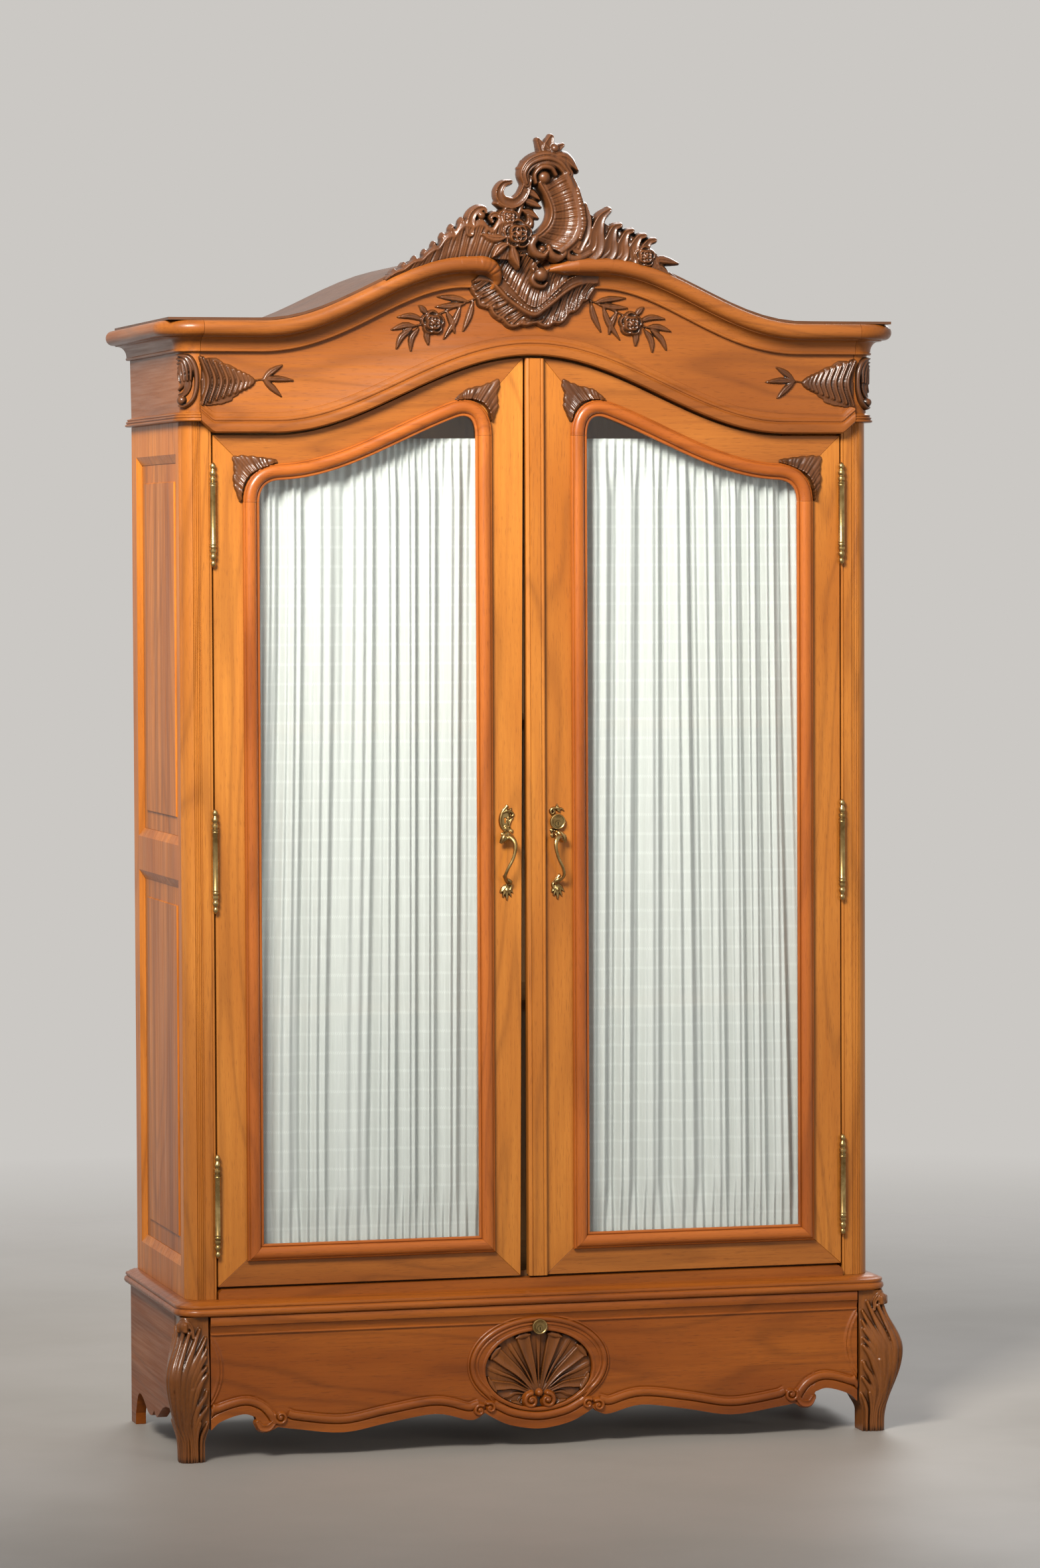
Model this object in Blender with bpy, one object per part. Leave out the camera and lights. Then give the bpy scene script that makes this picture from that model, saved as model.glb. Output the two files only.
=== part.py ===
"""Two-door glazed armoire in walnut: moulded base with one drawer, framed carcass, arched hood and carved crest.

The armoire stands on the floor at z = 0 and faces -Y. It is modelled with its doors in the plane y = 0, and at the
end it is moved back or forth so that the origin lies under the middle of its box.
"""

import math

import bmesh
import bpy
from mathutils import Vector

# Clearances
FIT = 0.0003
DOOR_GAP = 0.004
SLIDE_GAP = 0.001

# Carcass
SIDE_X = 0.678
DEPTH = 0.500
POST_RADIUS = 0.0335
POST_BAND = 0.023
POST_REEDS = 6
REED_DEPTH = 0.0022
FRAME_THICKNESS = 0.022
BACK_STILE = 0.046
FRONT_STILE = 0.026
TOP_RAIL = 0.060
BOTTOM_RAIL = 0.058
MID_RAIL = 0.066
MID_RAIL_RISE = 0.825
PANEL_THICKNESS = 0.009
PANEL_RECESS = 0.008
PANEL_MOULD = 0.016
PANEL_FIELD_BORDER = 0.034
PANEL_FIELD_RISE = 0.003
BACK_THICKNESS = 0.012
BACK_FIELD_BORDER = 0.070
BACK_FIELD_RECESS = 0.004
SHELF_RISES = (0.4975, 1.0375)
SHELF_THICKNESS = 0.020
SHELF_SETBACK = 0.066
CLEAT_HEIGHT = 0.024
CLEAT_WIDTH = 0.020

# Base
BASE_HEIGHT = 0.2755
BASE_OVERHANG = 0.014
BASE_FRONT_Y = -0.028
BASE_BOARD = 0.020
PLINTH_MOULD = 0.0275
PLINTH_REACH = 0.013
SILL_HEIGHT = 0.0195
SILL_FRONT_Y = -0.008
FLOOR_RISE = 0.010
LEG_WIDTH = 0.0475
LEG_GAP = 0.004
LEG_DEPTH = 0.078
FOOT_INSET = 0.008
FOOT_SETBACK = 0.030
ANKLE_Z = 0.072
ANKLE_LENGTH = 0.036
KNEE_DROP = 0.1155
KNEE_FALL = 0.0955
KNEE_BULGE = 0.034
FOOT_BULGE = 0.006
LEG_CORNER = 0.018
SCROLL_RADIUS = 0.0145
REAR_FOOT = 0.045
RUNNER_Z = 0.086
RUNNER_HEIGHT = 0.018
RUNNER_WIDTH = 0.088

# Drawer
DRAWER_FRONT = 0.022
DRAWER_WALL = 0.013
DRAWER_HEADROOM = 0.020
DRAWER_REAR_GAP = 0.046
DRAWER_BOTTOM = 0.008
DRAWER_BOTTOM_RISE = 0.010
DRAWER_BOX_INSET = 0.028
SKIRT_BEAD = 0.024
SKIRT_RISE = 0.007
CARTOUCHE_HALF = (0.124, 0.078)
CARTOUCHE_DROP = 0.075
CARTOUCHE_BEAD = 0.018
SHELL_FLUTES = 9
SHELL_RISE = 0.008

# Hood
POST_LENGTH = 1.6575
SHOULDER_DROP = 0.0215
SHOULDER_WIDTH = 0.025
ARCH_RISE = 0.148
ARCH_SHOULDER = 0.1145
FRIEZE_HEIGHT = 0.130
FRIEZE_FRONT_Y = -0.010
FRIEZE_THICKNESS = 0.034
FRIEZE_BEAD = 0.040
FRIEZE_BEAD_REACH = 0.013
CORNICE_HEIGHT = 0.0585
CORNICE_REACH = 0.050
CORNICE_RISE = 0.123
CORNICE_CROWN = 0.130
ROOF_THICKNESS = 0.005
ROOF_SETBACK = 0.018
CREST_NOTCH = 0.085
CREST_HEIGHT = 0.228
CREST_REACH = 0.026
SHELL_DROP = 0.072
ROSE_RADIUS = 0.026

# Doors
DOOR_EDGE = 0.0015
DOOR_THICKNESS = 0.024
MEETING_X = -0.0145
MEETING_TAPER = 0.0125
ASTRAGAL_HALF = 0.0185
ASTRAGAL_X = 0.006
ASTRAGAL_DEPTH = 0.011
RIGHT_DOOR_EDGE_X = -0.0095
MEETING_STILE = 0.110
HINGE_STILE = 0.088
DOOR_RAIL = 0.0795
GLASS_DROP = 0.089
GLASS_CORNER = 0.040
GLASS_THICKNESS = 0.003
REBATE = 0.012
BEAD_WIDTH = 0.032
BEAD_HEIGHT = 0.015

# Curtains
CURTAIN_FOLDS = 14
CURTAIN_THICKNESS = 0.0024
CURTAIN_FOLD_DEPTH = 0.0080
CURTAIN_GATHER_DEPTH = 0.0035
CURTAIN_OVERLAP = 0.026
CURTAIN_Y = 0.036
CURTAIN_TOP_GAP = 0.0045
CURTAIN_TUCK = 0.022
CURTAIN_POCKET = 0.040
ROD_RADIUS = 0.004
ROD_INSET = 0.014

# Hinges
HINGE_RADIUS = 0.0062
HINGE_LENGTH = 0.198
HINGE_FINIAL = 0.042
FINIAL_SWELL = 1.12
HINGE_INSET = 0.154
HINGE_LEAF = 0.0018
HINGE_LEAF_DEPTH = 0.020
HINGE_PIN_RADIUS = 0.0028
HINGE_PIN_LENGTH = 0.030
HINGE_RUN = 0.0008
ROUND_SIDES = 10
LOCK_SIDES = 16

# Handles and locks
HANDLE_X = {"left": -0.052, "right": 0.0485}
HANDLE_HEAD = 0.0325
HANDLE_LENGTH = 0.182
HANDLE_REACH = 0.032
HANDLE_PLATE = 0.004
LOCK_RISE = 0.8705
LOCK_RADIUS = 0.0152
BARREL_RADIUS = 0.0110
PLUG_RADIUS = 0.0056
PLUG_RUN = 0.0004
PLUG_DROP = 0.0035
CAM_LENGTH = 0.088
DRAWER_CAM_LENGTH = 0.052
CAM_WIDTH = 0.014
CAM_THICKNESS = 0.003
CAM_GAP = 0.0015
DRAWER_LOCK_DROP = 0.0425
BOLT_LENGTH = 0.105
BOLT_WIDTH = 0.012
BOLT_TRAVEL = 0.032
BOLT_DROP = 0.017
BOLT_X = -0.055

# Levels and planes that follow from the driving sizes
BAND_X = SIDE_X - POST_RADIUS
POST_INNER_X = BAND_X - POST_BAND
HINGE_X = POST_INNER_X - DOOR_EDGE
HINGE_Y = -FINIAL_SWELL * HINGE_RADIUS - FIT
DOOR_OUTER_X = HINGE_X - DOOR_EDGE
FRAME_INNER_X = SIDE_X - FRAME_THICKNESS
ARCH_EDGE_X = BAND_X - SHOULDER_WIDTH
ARCH_HALF_SPAN = ARCH_EDGE_X - ARCH_SHOULDER
CORNICE_SPRING = BAND_X - ARCH_SHOULDER
BASE_SIDE_X = SIDE_X + BASE_OVERHANG
LEG_INNER_X = BASE_SIDE_X - LEG_WIDTH
DRAWER_HALF = LEG_INNER_X - LEG_GAP
GLASS_INNER_X = MEETING_STILE
GLASS_OUTER_X = DOOR_OUTER_X - HINGE_STILE
PLINTH_TOP = BASE_HEIGHT + PLINTH_MOULD
SILL_TOP = PLINTH_TOP + SILL_HEIGHT
FLOOR_TOP = SILL_TOP + FLOOR_RISE
DOOR_BOTTOM = SILL_TOP + DOOR_GAP
GLASS_BOTTOM = DOOR_BOTTOM + DOOR_RAIL
LOCK_Z = DOOR_BOTTOM + LOCK_RISE
HANDLE_TOP = LOCK_Z + HANDLE_HEAD
SHELF_HEIGHTS = tuple(FLOOR_TOP + rise for rise in SHELF_RISES)
MID_RAIL_Z = PLINTH_TOP + MID_RAIL_RISE
POST_TOP = PLINTH_TOP + POST_LENGTH
SHOULDER_Z = POST_TOP - SHOULDER_DROP
FRIEZE_TOP = POST_TOP + FRIEZE_HEIGHT
CORNICE_TOP = FRIEZE_TOP + CORNICE_HEIGHT
CROWN_Z = CORNICE_TOP + CORNICE_RISE
CREST_TOP = CROWN_Z + CREST_HEIGHT
KNEE_Z = BASE_HEIGHT - KNEE_DROP
DRAWER_TOP = BASE_HEIGHT - SLIDE_GAP
DRAWER_LOCK_Z = DRAWER_TOP - DRAWER_LOCK_DROP
CARTOUCHE_Z = DRAWER_LOCK_Z - CARTOUCHE_DROP
DRAWER_BACK_Y = BASE_FRONT_Y + DRAWER_FRONT
RUNNER_TOP = RUNNER_Z + RUNNER_HEIGHT

FINISHES = {
    "walnut": ((0.38, 0.155, 0.045), 0.32, 0.0),
    "carved_walnut": ((0.22, 0.090, 0.032), 0.35, 0.0),
    "inner_wood": ((0.42, 0.26, 0.13), 0.60, 0.0),
    "brass": ((0.62, 0.44, 0.16), 0.28, 1.0),
    "glass": ((0.80, 0.86, 0.84), 0.03, 0.0),
    "voile": ((0.80, 0.80, 0.75), 0.85, 0.0),
}


# Shapes of the two arches


def half_cosine(t):
    """Rises smoothly from 0 to 1 as t goes from 0 to 1."""
    t = min(max(t, 0.0), 1.0)
    return (1.0 - math.cos(math.pi * t)) / 2.0


def door_arch(x):
    """Lower edge of the frieze above the doors, with its mitred shoulder beside each post."""
    over = max(0.0, abs(x) - ARCH_EDGE_X)
    shoulder = over * SHOULDER_DROP / SHOULDER_WIDTH
    return SHOULDER_Z + ARCH_RISE * half_cosine(1.0 - abs(x) / ARCH_HALF_SPAN) + shoulder


def cornice_arch(x):
    """Top line of the cornice across the front."""
    share = (CORNICE_SPRING - abs(x)) / (CORNICE_SPRING - CORNICE_CROWN)
    return CORNICE_TOP + CORNICE_RISE * half_cosine(share)


def slope(curve, x, step=0.001):
    """Slope of a height curve at x."""
    return (curve(x + step) - curve(x - step)) / (2.0 * step)


def spread(low, high, count):
    """Evenly spaced values from low to high, both included."""
    return [low + (high - low) * i / (count - 1) for i in range(count)]


def smooth(points, steps):
    """Points along a curve that passes smoothly through the given 2-D or 3-D points."""
    points = [Vector(p) for p in points]
    ends = [2 * points[0] - points[1], *points, 2 * points[-1] - points[-2]]
    line = []
    for a, b, c, d in zip(ends, ends[1:], ends[2:], ends[3:]):
        for i in range(steps):
            t = i / steps
            line.append(
                0.5 * (2 * b + (c - a) * t + (2 * a - 5 * b + 4 * c - d) * t * t
                       + (3 * b - a - 3 * c + d) * t * t * t)
            )
    return [*line, points[-1]]


def bezier(start, control, end, steps):
    """Points along a rounded corner, without its end point."""
    a, b, c = Vector(start), Vector(control), Vector(end)
    return [(1 - t) ** 2 * a + 2 * t * (1 - t) * b + t * t * c for t in (i / steps for i in range(steps))]


def offset(path, distance):
    """A closed outline moved outwards by a distance, mitred at its corners. The outline runs anticlockwise."""
    moved = []
    for before, here, after in zip(path[-1:] + path[:-1], path, path[1:] + path[:1]):
        ahead = (after - here).normalized()
        behind = (here - before).normalized()
        n1 = Vector((behind.y, -behind.x))
        n2 = Vector((ahead.y, -ahead.x))
        moved.append(here + (n1 + n2) * (distance / (1.0 + n1.dot(n2))))
    return moved


# Building blocks


def clear_scene():
    for old in list(bpy.data.objects):
        bpy.data.objects.remove(old, do_unlink=True)


def finish_material(name):
    """The Principled material of one finish, made once."""
    found = bpy.data.materials.get(name)
    if found:
        return found
    colour, roughness, metallic = FINISHES[name]
    made = bpy.data.materials.new(name)
    made.use_nodes = True
    shader = made.node_tree.nodes["Principled BSDF"]
    shader.inputs["Base Color"].default_value = (*colour, 1.0)
    shader.inputs["Roughness"].default_value = roughness
    shader.inputs["Metallic"].default_value = metallic
    return made


def add(name, shape, finish, axis=None, round_angle=None):
    """A named object from vertices and faces. axis is the empty that a moving piece turns or slides with."""
    verts, faces = shape
    mesh = bpy.data.meshes.new(name)
    mesh.from_pydata([tuple(v) for v in verts], [], faces)
    work = bmesh.new()
    work.from_mesh(mesh)
    bmesh.ops.remove_doubles(work, verts=work.verts, dist=1e-6)
    bmesh.ops.recalc_face_normals(work, faces=work.faces)
    work.to_mesh(mesh)
    work.free()
    if round_angle:
        mesh.shade_smooth()
        mesh.set_sharp_from_angle(angle=math.radians(round_angle))
    made = bpy.data.objects.new(name, mesh)
    bpy.context.scene.collection.objects.link(made)
    if finish:
        mesh.materials.append(finish_material(finish))
    if axis:
        made.parent = axis
        made.matrix_parent_inverse = axis.matrix_world.inverted()
    return made


def axis_empty(name, position):
    """The empty on a joint's axis, which its moving pieces hang from."""
    made = bpy.data.objects.new(name, None)
    made.location = position
    bpy.context.scene.collection.objects.link(made)
    bpy.context.view_layer.update()
    return made


def combine(target, operation, *shapes):
    """Cuts shapes from a piece, or joins them to it, with Boolean modifiers."""
    for number, shape in enumerate(shapes):
        helper = add(f"{target.name}_{operation.lower()}_{len(target.modifiers)}", shape, None)
        helper.hide_render = True
        helper.display_type = "WIRE"
        modifier = target.modifiers.new(f"{operation.lower()}_{number}", "BOOLEAN")
        modifier.operation = operation
        modifier.object = helper
    return target


def cut(target, *shapes):
    return combine(target, "DIFFERENCE", *shapes)


def join(target, *shapes):
    return combine(target, "UNION", *shapes)


def loft(rings, loop=False):
    """Skin over closed rings of equal length, capped at both ends unless the rings form a loop."""
    count = len(rings[0])
    verts = [Vector(p) for ring in rings for p in ring]
    faces = []
    pairs = list(zip(range(len(rings)), range(1, len(rings))))
    if loop:
        pairs.append((len(rings) - 1, 0))
    for low, high in pairs:
        for i in range(count):
            j = (i + 1) % count
            faces.append((low * count + i, low * count + j, high * count + j, high * count + i))
    if not loop:
        faces.append(tuple(range(count)))
        faces.append(tuple(range((len(rings) - 1) * count, len(rings) * count)))
    return verts, faces


def prism(outline, low, high, axis):
    """An outline pushed along X, Y or Z. Its two coordinates are the other axes in X, Y, Z order."""
    place = {
        "X": lambda a, b, h: (h, a, b),
        "Y": lambda a, b, h: (a, h, b),
        "Z": lambda a, b, h: (a, b, h),
    }[axis]
    return loft([[place(p[0], p[1], h) for p in outline] for h in (low, high)])


def box(x0, x1, y0, y1, z0, z1):
    return prism([(x0, z0), (x1, z0), (x1, z1), (x0, z1)], y0, y1, "Y")


def frustum(near, far, x_near, x_far):
    """A block along X whose two YZ rectangles, (y0, y1, z0, z1), differ in size."""
    rings = []
    for (y0, y1, z0, z1), x in ((near, x_near), (far, x_far)):
        rings.append([(x, y0, z0), (x, y1, z0), (x, y1, z1), (x, y0, z1)])
    return loft(rings)


def turned(profile, centre, axis="Z", sides=ROUND_SIDES):
    """A solid turned from (radius, height) points about an axis through centre. The profile is closed."""
    rings = []
    for i in range(sides):
        angle = 2.0 * math.pi * i / sides
        c, s = math.cos(angle), math.sin(angle)
        if axis == "Z":
            rings.append([(centre[0] + r * c, centre[1] + r * s, centre[2] + h) for r, h in profile])
        else:
            rings.append([(centre[0] + r * c, centre[1] + h, centre[2] + r * s) for r, h in profile])
    return loft(rings, loop=True)


def rod_shape(radius, length, centre, axis="Y", sides=ROUND_SIDES):
    """A plain cylinder that starts at centre and runs along +Y or +Z."""
    circle = [2.0 * math.pi * i / sides for i in range(sides)]
    if axis == "Y":
        rings = [[(centre[0] + radius * math.cos(a), centre[1] + h, centre[2] + radius * math.sin(a))
                  for a in circle] for h in (0.0, length)]
    else:
        rings = [[(centre[0] + radius * math.cos(a), centre[1] + radius * math.sin(a), centre[2] + h)
                  for a in circle] for h in (0.0, length)]
    return loft(rings)


def tube(spine, widths, depths, sides=8):
    """A carved limb along a spine in the XZ plane. widths lie across the spine in that plane, depths along Y."""
    rings = []
    for i, point in enumerate(spine):
        ahead = spine[min(i + 1, len(spine) - 1)] - spine[max(i - 1, 0)]
        across = Vector((-ahead.z, 0.0, ahead.x)).normalized()
        ring = []
        for k in range(sides):
            angle = 2.0 * math.pi * k / sides
            ring.append(point + across * (widths[i] * math.cos(angle)) + Vector((0, depths[i] * math.sin(angle), 0)))
        rings.append(ring)
    return loft(rings)


def mirrored(shape, side):
    """The shape for one side of the armoire: side is 1 on the right and -1 on the left."""
    verts, faces = shape
    return [Vector((v.x * side, v.y, v.z)) for v in verts], faces


SIDES = (("left", -1), ("right", 1))


# Base


def leg_bulge(z):
    """How far the cabriole leg stands out at a height."""
    if z < KNEE_Z:
        share = (z - ANKLE_Z / 4) / (KNEE_Z - ANKLE_Z / 4)
        return FOOT_BULGE + (KNEE_BULGE - FOOT_BULGE) * half_cosine(share)
    return KNEE_BULGE * (1.0 - 0.85 * half_cosine((z - KNEE_Z) / KNEE_FALL))


def leg_ring(z):
    """Outline of the right leg at a height: a block whose front outer corner swells."""
    bulge = leg_bulge(z)
    narrow = half_cosine((ANKLE_Z - z) / ANKLE_LENGTH)
    inner = LEG_INNER_X + FOOT_INSET * narrow
    back = BASE_FRONT_Y + LEG_DEPTH - FOOT_SETBACK * narrow
    outer = BASE_SIDE_X + bulge
    front = BASE_FRONT_Y - bulge
    ring = [(inner, back), (inner, BASE_FRONT_Y - 0.35 * bulge)]
    centre = (outer - LEG_CORNER, front + LEG_CORNER)
    for angle in spread(-math.pi / 2, 0.0, 5):
        ring.append((centre[0] + LEG_CORNER * math.cos(angle), centre[1] + LEG_CORNER * math.sin(angle)))
    ring.append((BASE_SIDE_X + 0.35 * bulge, back))
    return [(x, y, z) for x, y in ring]


def build_legs():
    heights = [*spread(0.0, ANKLE_Z, 5), *spread(ANKLE_Z, KNEE_Z + KNEE_FALL, 8)[1:], BASE_HEIGHT - FIT]
    for name, side in SIDES:
        leg = add(f"front_leg_{name}", mirrored(loft([leg_ring(z) for z in heights]), side), "carved_walnut",
                  round_angle=50)
        ball = [(SCROLL_RADIUS * math.cos(a), SCROLL_RADIUS * math.sin(a))
                for a in spread(-math.pi / 2 + 0.2, math.pi / 2 - 0.2, 6)]
        profile = [(0.0005, ball[0][1]), *ball, (0.0005, ball[-1][1])]
        centre = (BASE_SIDE_X - 0.006, BASE_FRONT_Y - 0.004, BASE_HEIGHT - 0.0015 - SCROLL_RADIUS)
        join(leg, mirrored(turned(profile, centre, sides=10), side))


def base_side_outline():
    """Side board in (y, z): straight top, scalloped lower edge and rear foot."""
    front = BASE_FRONT_Y + LEG_DEPTH + FIT
    foot = DEPTH - REAR_FOOT
    span = foot - front

    def along(points):
        return [(foot - share * span, z) for share, z in points]

    arch = smooth(along([(0.0, 0.022), (0.055, 0.058), (0.12, 0.068), (0.21, 0.060), (0.31, 0.044), (0.40, 0.042),
                         (0.46, 0.055)]), 3)
    tip = smooth(along([(0.47, 0.054), (0.53, 0.046), (0.64, 0.066), (0.75, 0.080), (1.0, 0.086)]), 2)
    top = BASE_HEIGHT - FIT
    return [(DEPTH, top), (front, top), *reversed(tip), *reversed(arch), (foot, 0.0), (DEPTH, 0.0)]


def build_base():
    outline = base_side_outline()
    for name, side in SIDES:
        inner = BASE_SIDE_X - BASE_BOARD
        board = add(f"base_side_{name}", mirrored(prism(outline, inner, BASE_SIDE_X, "X"), side), "walnut")
        runner = box(BASE_SIDE_X - RUNNER_WIDTH, inner + 0.004, BASE_FRONT_Y + LEG_DEPTH + 0.012,
                     DEPTH - BASE_BOARD - 0.002, RUNNER_Z, RUNNER_TOP)
        join(board, mirrored(runner, side))
    inner = BASE_SIDE_X - BASE_BOARD - FIT
    add("base_back", box(-inner, inner, DEPTH - BASE_BOARD, DEPTH, 0.045, BASE_HEIGHT - FIT), "inner_wood")


def plinth_path(reach):
    """Front and side edge of the base moulding at a distance outside the drawer front, in plan."""
    x = BASE_SIDE_X + reach
    y = BASE_FRONT_Y - reach
    r = POST_RADIUS + reach
    corner = [(x - r + r * math.cos(a), y + r + r * math.sin(a)) for a in spread(0.0, -math.pi / 2, 6)]
    half = [(x, DEPTH), *corner]
    return [*half, *[(-px, py) for px, py in reversed(half)]]


def build_base_top():
    """Moulded board on the base. It carries the carcass, and its sill and floor lie under the doors."""
    profile = [
        (PLINTH_REACH - 0.004, 0.0),
        (PLINTH_REACH, 0.0045),
        (PLINTH_REACH, 0.0095),
        (PLINTH_REACH - 0.004, 0.0140),
        (PLINTH_REACH - 0.006, 0.0145),
        (PLINTH_REACH - 0.010, 0.0180),
        (PLINTH_REACH - 0.016, 0.0200),
        (PLINTH_REACH - 0.020, PLINTH_MOULD),
    ]
    rings = [[(x, y, BASE_HEIGHT + rise) for x, y in plinth_path(reach)] for reach, rise in profile]
    board = add("base_top_board", loft(rings), "walnut", round_angle=50)
    sill = [(-ARCH_EDGE_X, PLINTH_TOP - 0.004), (ARCH_EDGE_X, PLINTH_TOP - 0.004), (ARCH_EDGE_X, SILL_TOP - 0.007),
            (ARCH_EDGE_X - 0.007, SILL_TOP), (-ARCH_EDGE_X + 0.007, SILL_TOP), (-ARCH_EDGE_X, SILL_TOP - 0.007)]
    stop_y = DOOR_THICKNESS + 0.002
    join(board, prism(sill, SILL_FRONT_Y, stop_y + 0.004, "Y"))
    floor_x = POST_INNER_X - 0.010
    join(board, box(-floor_x, floor_x, stop_y, DEPTH - BACK_THICKNESS - 0.010, PLINTH_TOP - 0.004, FLOOR_TOP))
    pocket_y = DRAWER_BACK_Y + CAM_GAP
    pocket_x = CAM_WIDTH + 0.018
    cut(board, box(-pocket_x, pocket_x, pocket_y - 0.003, pocket_y + CAM_THICKNESS + 0.003, BASE_HEIGHT - 0.010,
                   BASE_HEIGHT + 0.012))


# Carcass


def post_section():
    """Plan of the right corner post: reeded quarter round, flat band and square back."""
    centre = (SIDE_X - POST_RADIUS, POST_RADIUS)
    reeds = []
    per_reed = 4
    total = POST_REEDS * per_reed
    for i in range(total + 1):
        angle = -math.pi / 2 * (1.0 - i / total)
        groove = REED_DEPTH if i % per_reed == 0 and 0 < i < total else 0.0
        r = POST_RADIUS - groove
        reeds.append((centre[0] + r * math.cos(angle), centre[1] + r * math.sin(angle)))
    return [(POST_INNER_X, POST_RADIUS), (POST_INNER_X, 0.0), (BAND_X - FIT, 0.0), *reeds]


def build_posts():
    section = post_section()
    top = POST_TOP - FIT
    fall = SHOULDER_DROP / SHOULDER_WIDTH
    low = [(x, y, PLINTH_TOP + FIT) for x, y in section]
    high = [(x, y, top - max(0.0, BAND_X - x) * fall) for x, y in section]
    for name, side in SIDES:
        add(f"corner_post_{name}", mirrored(loft([low, high]), side), "walnut", round_angle=40)


def panel_windows():
    """The two openings of a side frame, as (y0, y1, z0, z1)."""
    y0 = POST_RADIUS + FRONT_STILE
    y1 = DEPTH - BACK_STILE
    half = MID_RAIL / 2
    lower = (y0, y1, PLINTH_TOP + BOTTOM_RAIL, MID_RAIL_Z - half)
    upper = (y0, y1, MID_RAIL_Z + half, POST_TOP - TOP_RAIL)
    return {"lower": lower, "upper": upper}


def grown(window, by):
    y0, y1, z0, z1 = window
    return (y0 - by, y1 + by, z0 - by, z1 + by)


def build_sides():
    windows = panel_windows()
    for name, side in SIDES:
        plate = box(FRAME_INNER_X, SIDE_X, POST_RADIUS + FIT, DEPTH, PLINTH_TOP + FIT, POST_TOP - FIT)
        frame = add(f"side_frame_{name}", mirrored(plate, side), "walnut")
        for window in windows.values():
            inner = grown(window, -PANEL_MOULD)
            through = frustum(inner, inner, FRAME_INNER_X - 0.01, SIDE_X + 0.01)
            bevel = frustum(grown(window, -PANEL_MOULD), grown(window, 0.002), SIDE_X - PANEL_RECESS, SIDE_X + 0.001)
            cut(frame, mirrored(through, side), mirrored(bevel, side))
        for height in SHELF_HEIGHTS:
            cleat = box(FRAME_INNER_X - CLEAT_WIDTH, FRAME_INNER_X + 0.003, SHELF_SETBACK - 0.002,
                        DEPTH - BACK_THICKNESS - 0.004, height - CLEAT_HEIGHT, height)
            join(frame, mirrored(cleat, side))
        for level, window in windows.items():
            seat = grown(window, -PANEL_MOULD - FIT)
            face = SIDE_X - PANEL_RECESS - 0.001
            field = grown(seat, -PANEL_FIELD_BORDER)
            panel = add(f"side_{level}_panel_{name}", mirrored(frustum(seat, seat, face - PANEL_THICKNESS, face), side),
                        "walnut")
            rise = frustum(field, grown(field, -0.002), face - 0.002, face + PANEL_FIELD_RISE)
            join(panel, mirrored(rise, side))


def build_back():
    """Back board with an arched top and four sunk fields."""
    half = FRAME_INNER_X - FIT
    top = [(x, cornice_arch(x)) for x in (half, *reversed(front_stations()), -half)]
    outline = [(-half, PLINTH_TOP + FIT), (half, PLINTH_TOP + FIT), *top]
    y1 = DEPTH
    y0 = DEPTH - BACK_THICKNESS
    back = add("back_panel", prism(outline, y0, y1, "Y"), "inner_wood")
    border = BACK_FIELD_BORDER
    rows = ((PLINTH_TOP + border, MID_RAIL_Z - border / 2), (MID_RAIL_Z + border / 2, POST_TOP - border / 2))
    for z0, z1 in rows:
        for x0, x1 in ((-half + border, -border / 2), (border / 2, half - border)):
            cut(back, box(x0, x1, y1 - BACK_FIELD_RECESS, y1 + 0.01, z0, z1))


def build_shelves():
    half = FRAME_INNER_X - FIT
    for name, height in zip(("shelf_lower", "shelf_upper"), SHELF_HEIGHTS):
        bottom = height + FIT
        add(name, box(-half, half, SHELF_SETBACK, DEPTH - BACK_THICKNESS - FIT, bottom, bottom + SHELF_THICKNESS),
            "inner_wood")


# Hood


def hood_sections():
    """Half sections of the hood as (reach, rise) pairs: the frieze bead at the foot and the cornice at the top."""
    bead = FRIEZE_BEAD_REACH
    foot = [
        (bead - 0.004, 0.0),
        (bead, 0.005),
        (bead, 0.012),
        (bead - 0.005, 0.018),
        (bead - 0.006, 0.5 * FRIEZE_BEAD),
        (0.003, FRIEZE_BEAD - 0.004),
        (0.0, FRIEZE_BEAD),
    ]
    reach = CORNICE_REACH
    crown = [
        (0.003, -CORNICE_HEIGHT),
        (0.006, -CORNICE_HEIGHT + 0.004),
        (0.007, -CORNICE_HEIGHT + 0.014),
        (0.015, -CORNICE_HEIGHT + 0.023),
        (reach - 0.024, -0.031),
        (reach - 0.008, -0.030),
        (reach, -0.021),
        (reach, -0.011),
        (reach - 0.009, -0.001),
        (reach - 0.022, 0.0),
    ]
    return foot, crown


def front_stations():
    """Where the arched front pieces are shaped across the width."""
    return spread(-BAND_X + FIT, BAND_X - FIT, 41)


def build_frieze():
    foot, _ = hood_sections()
    face = FRIEZE_FRONT_Y
    back = face + FRIEZE_THICKNESS
    rings = []
    for x in front_stations():
        low = door_arch(x)
        lean = slope(door_arch, x) if abs(x) < ARCH_HALF_SPAN else 0.0
        stretch = math.sqrt(1.0 + lean * lean)
        top = cornice_arch(x) - CORNICE_HEIGHT * math.sqrt(1.0 + slope(cornice_arch, x) ** 2) - FIT
        ring = [(x, face - reach, low + rise * stretch) for reach, rise in foot]
        rings.append([(x, back, low), *ring, (x, face, top), (x, back, top)])
    add("frieze_front", loft(rings), "walnut", round_angle=40)


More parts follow.
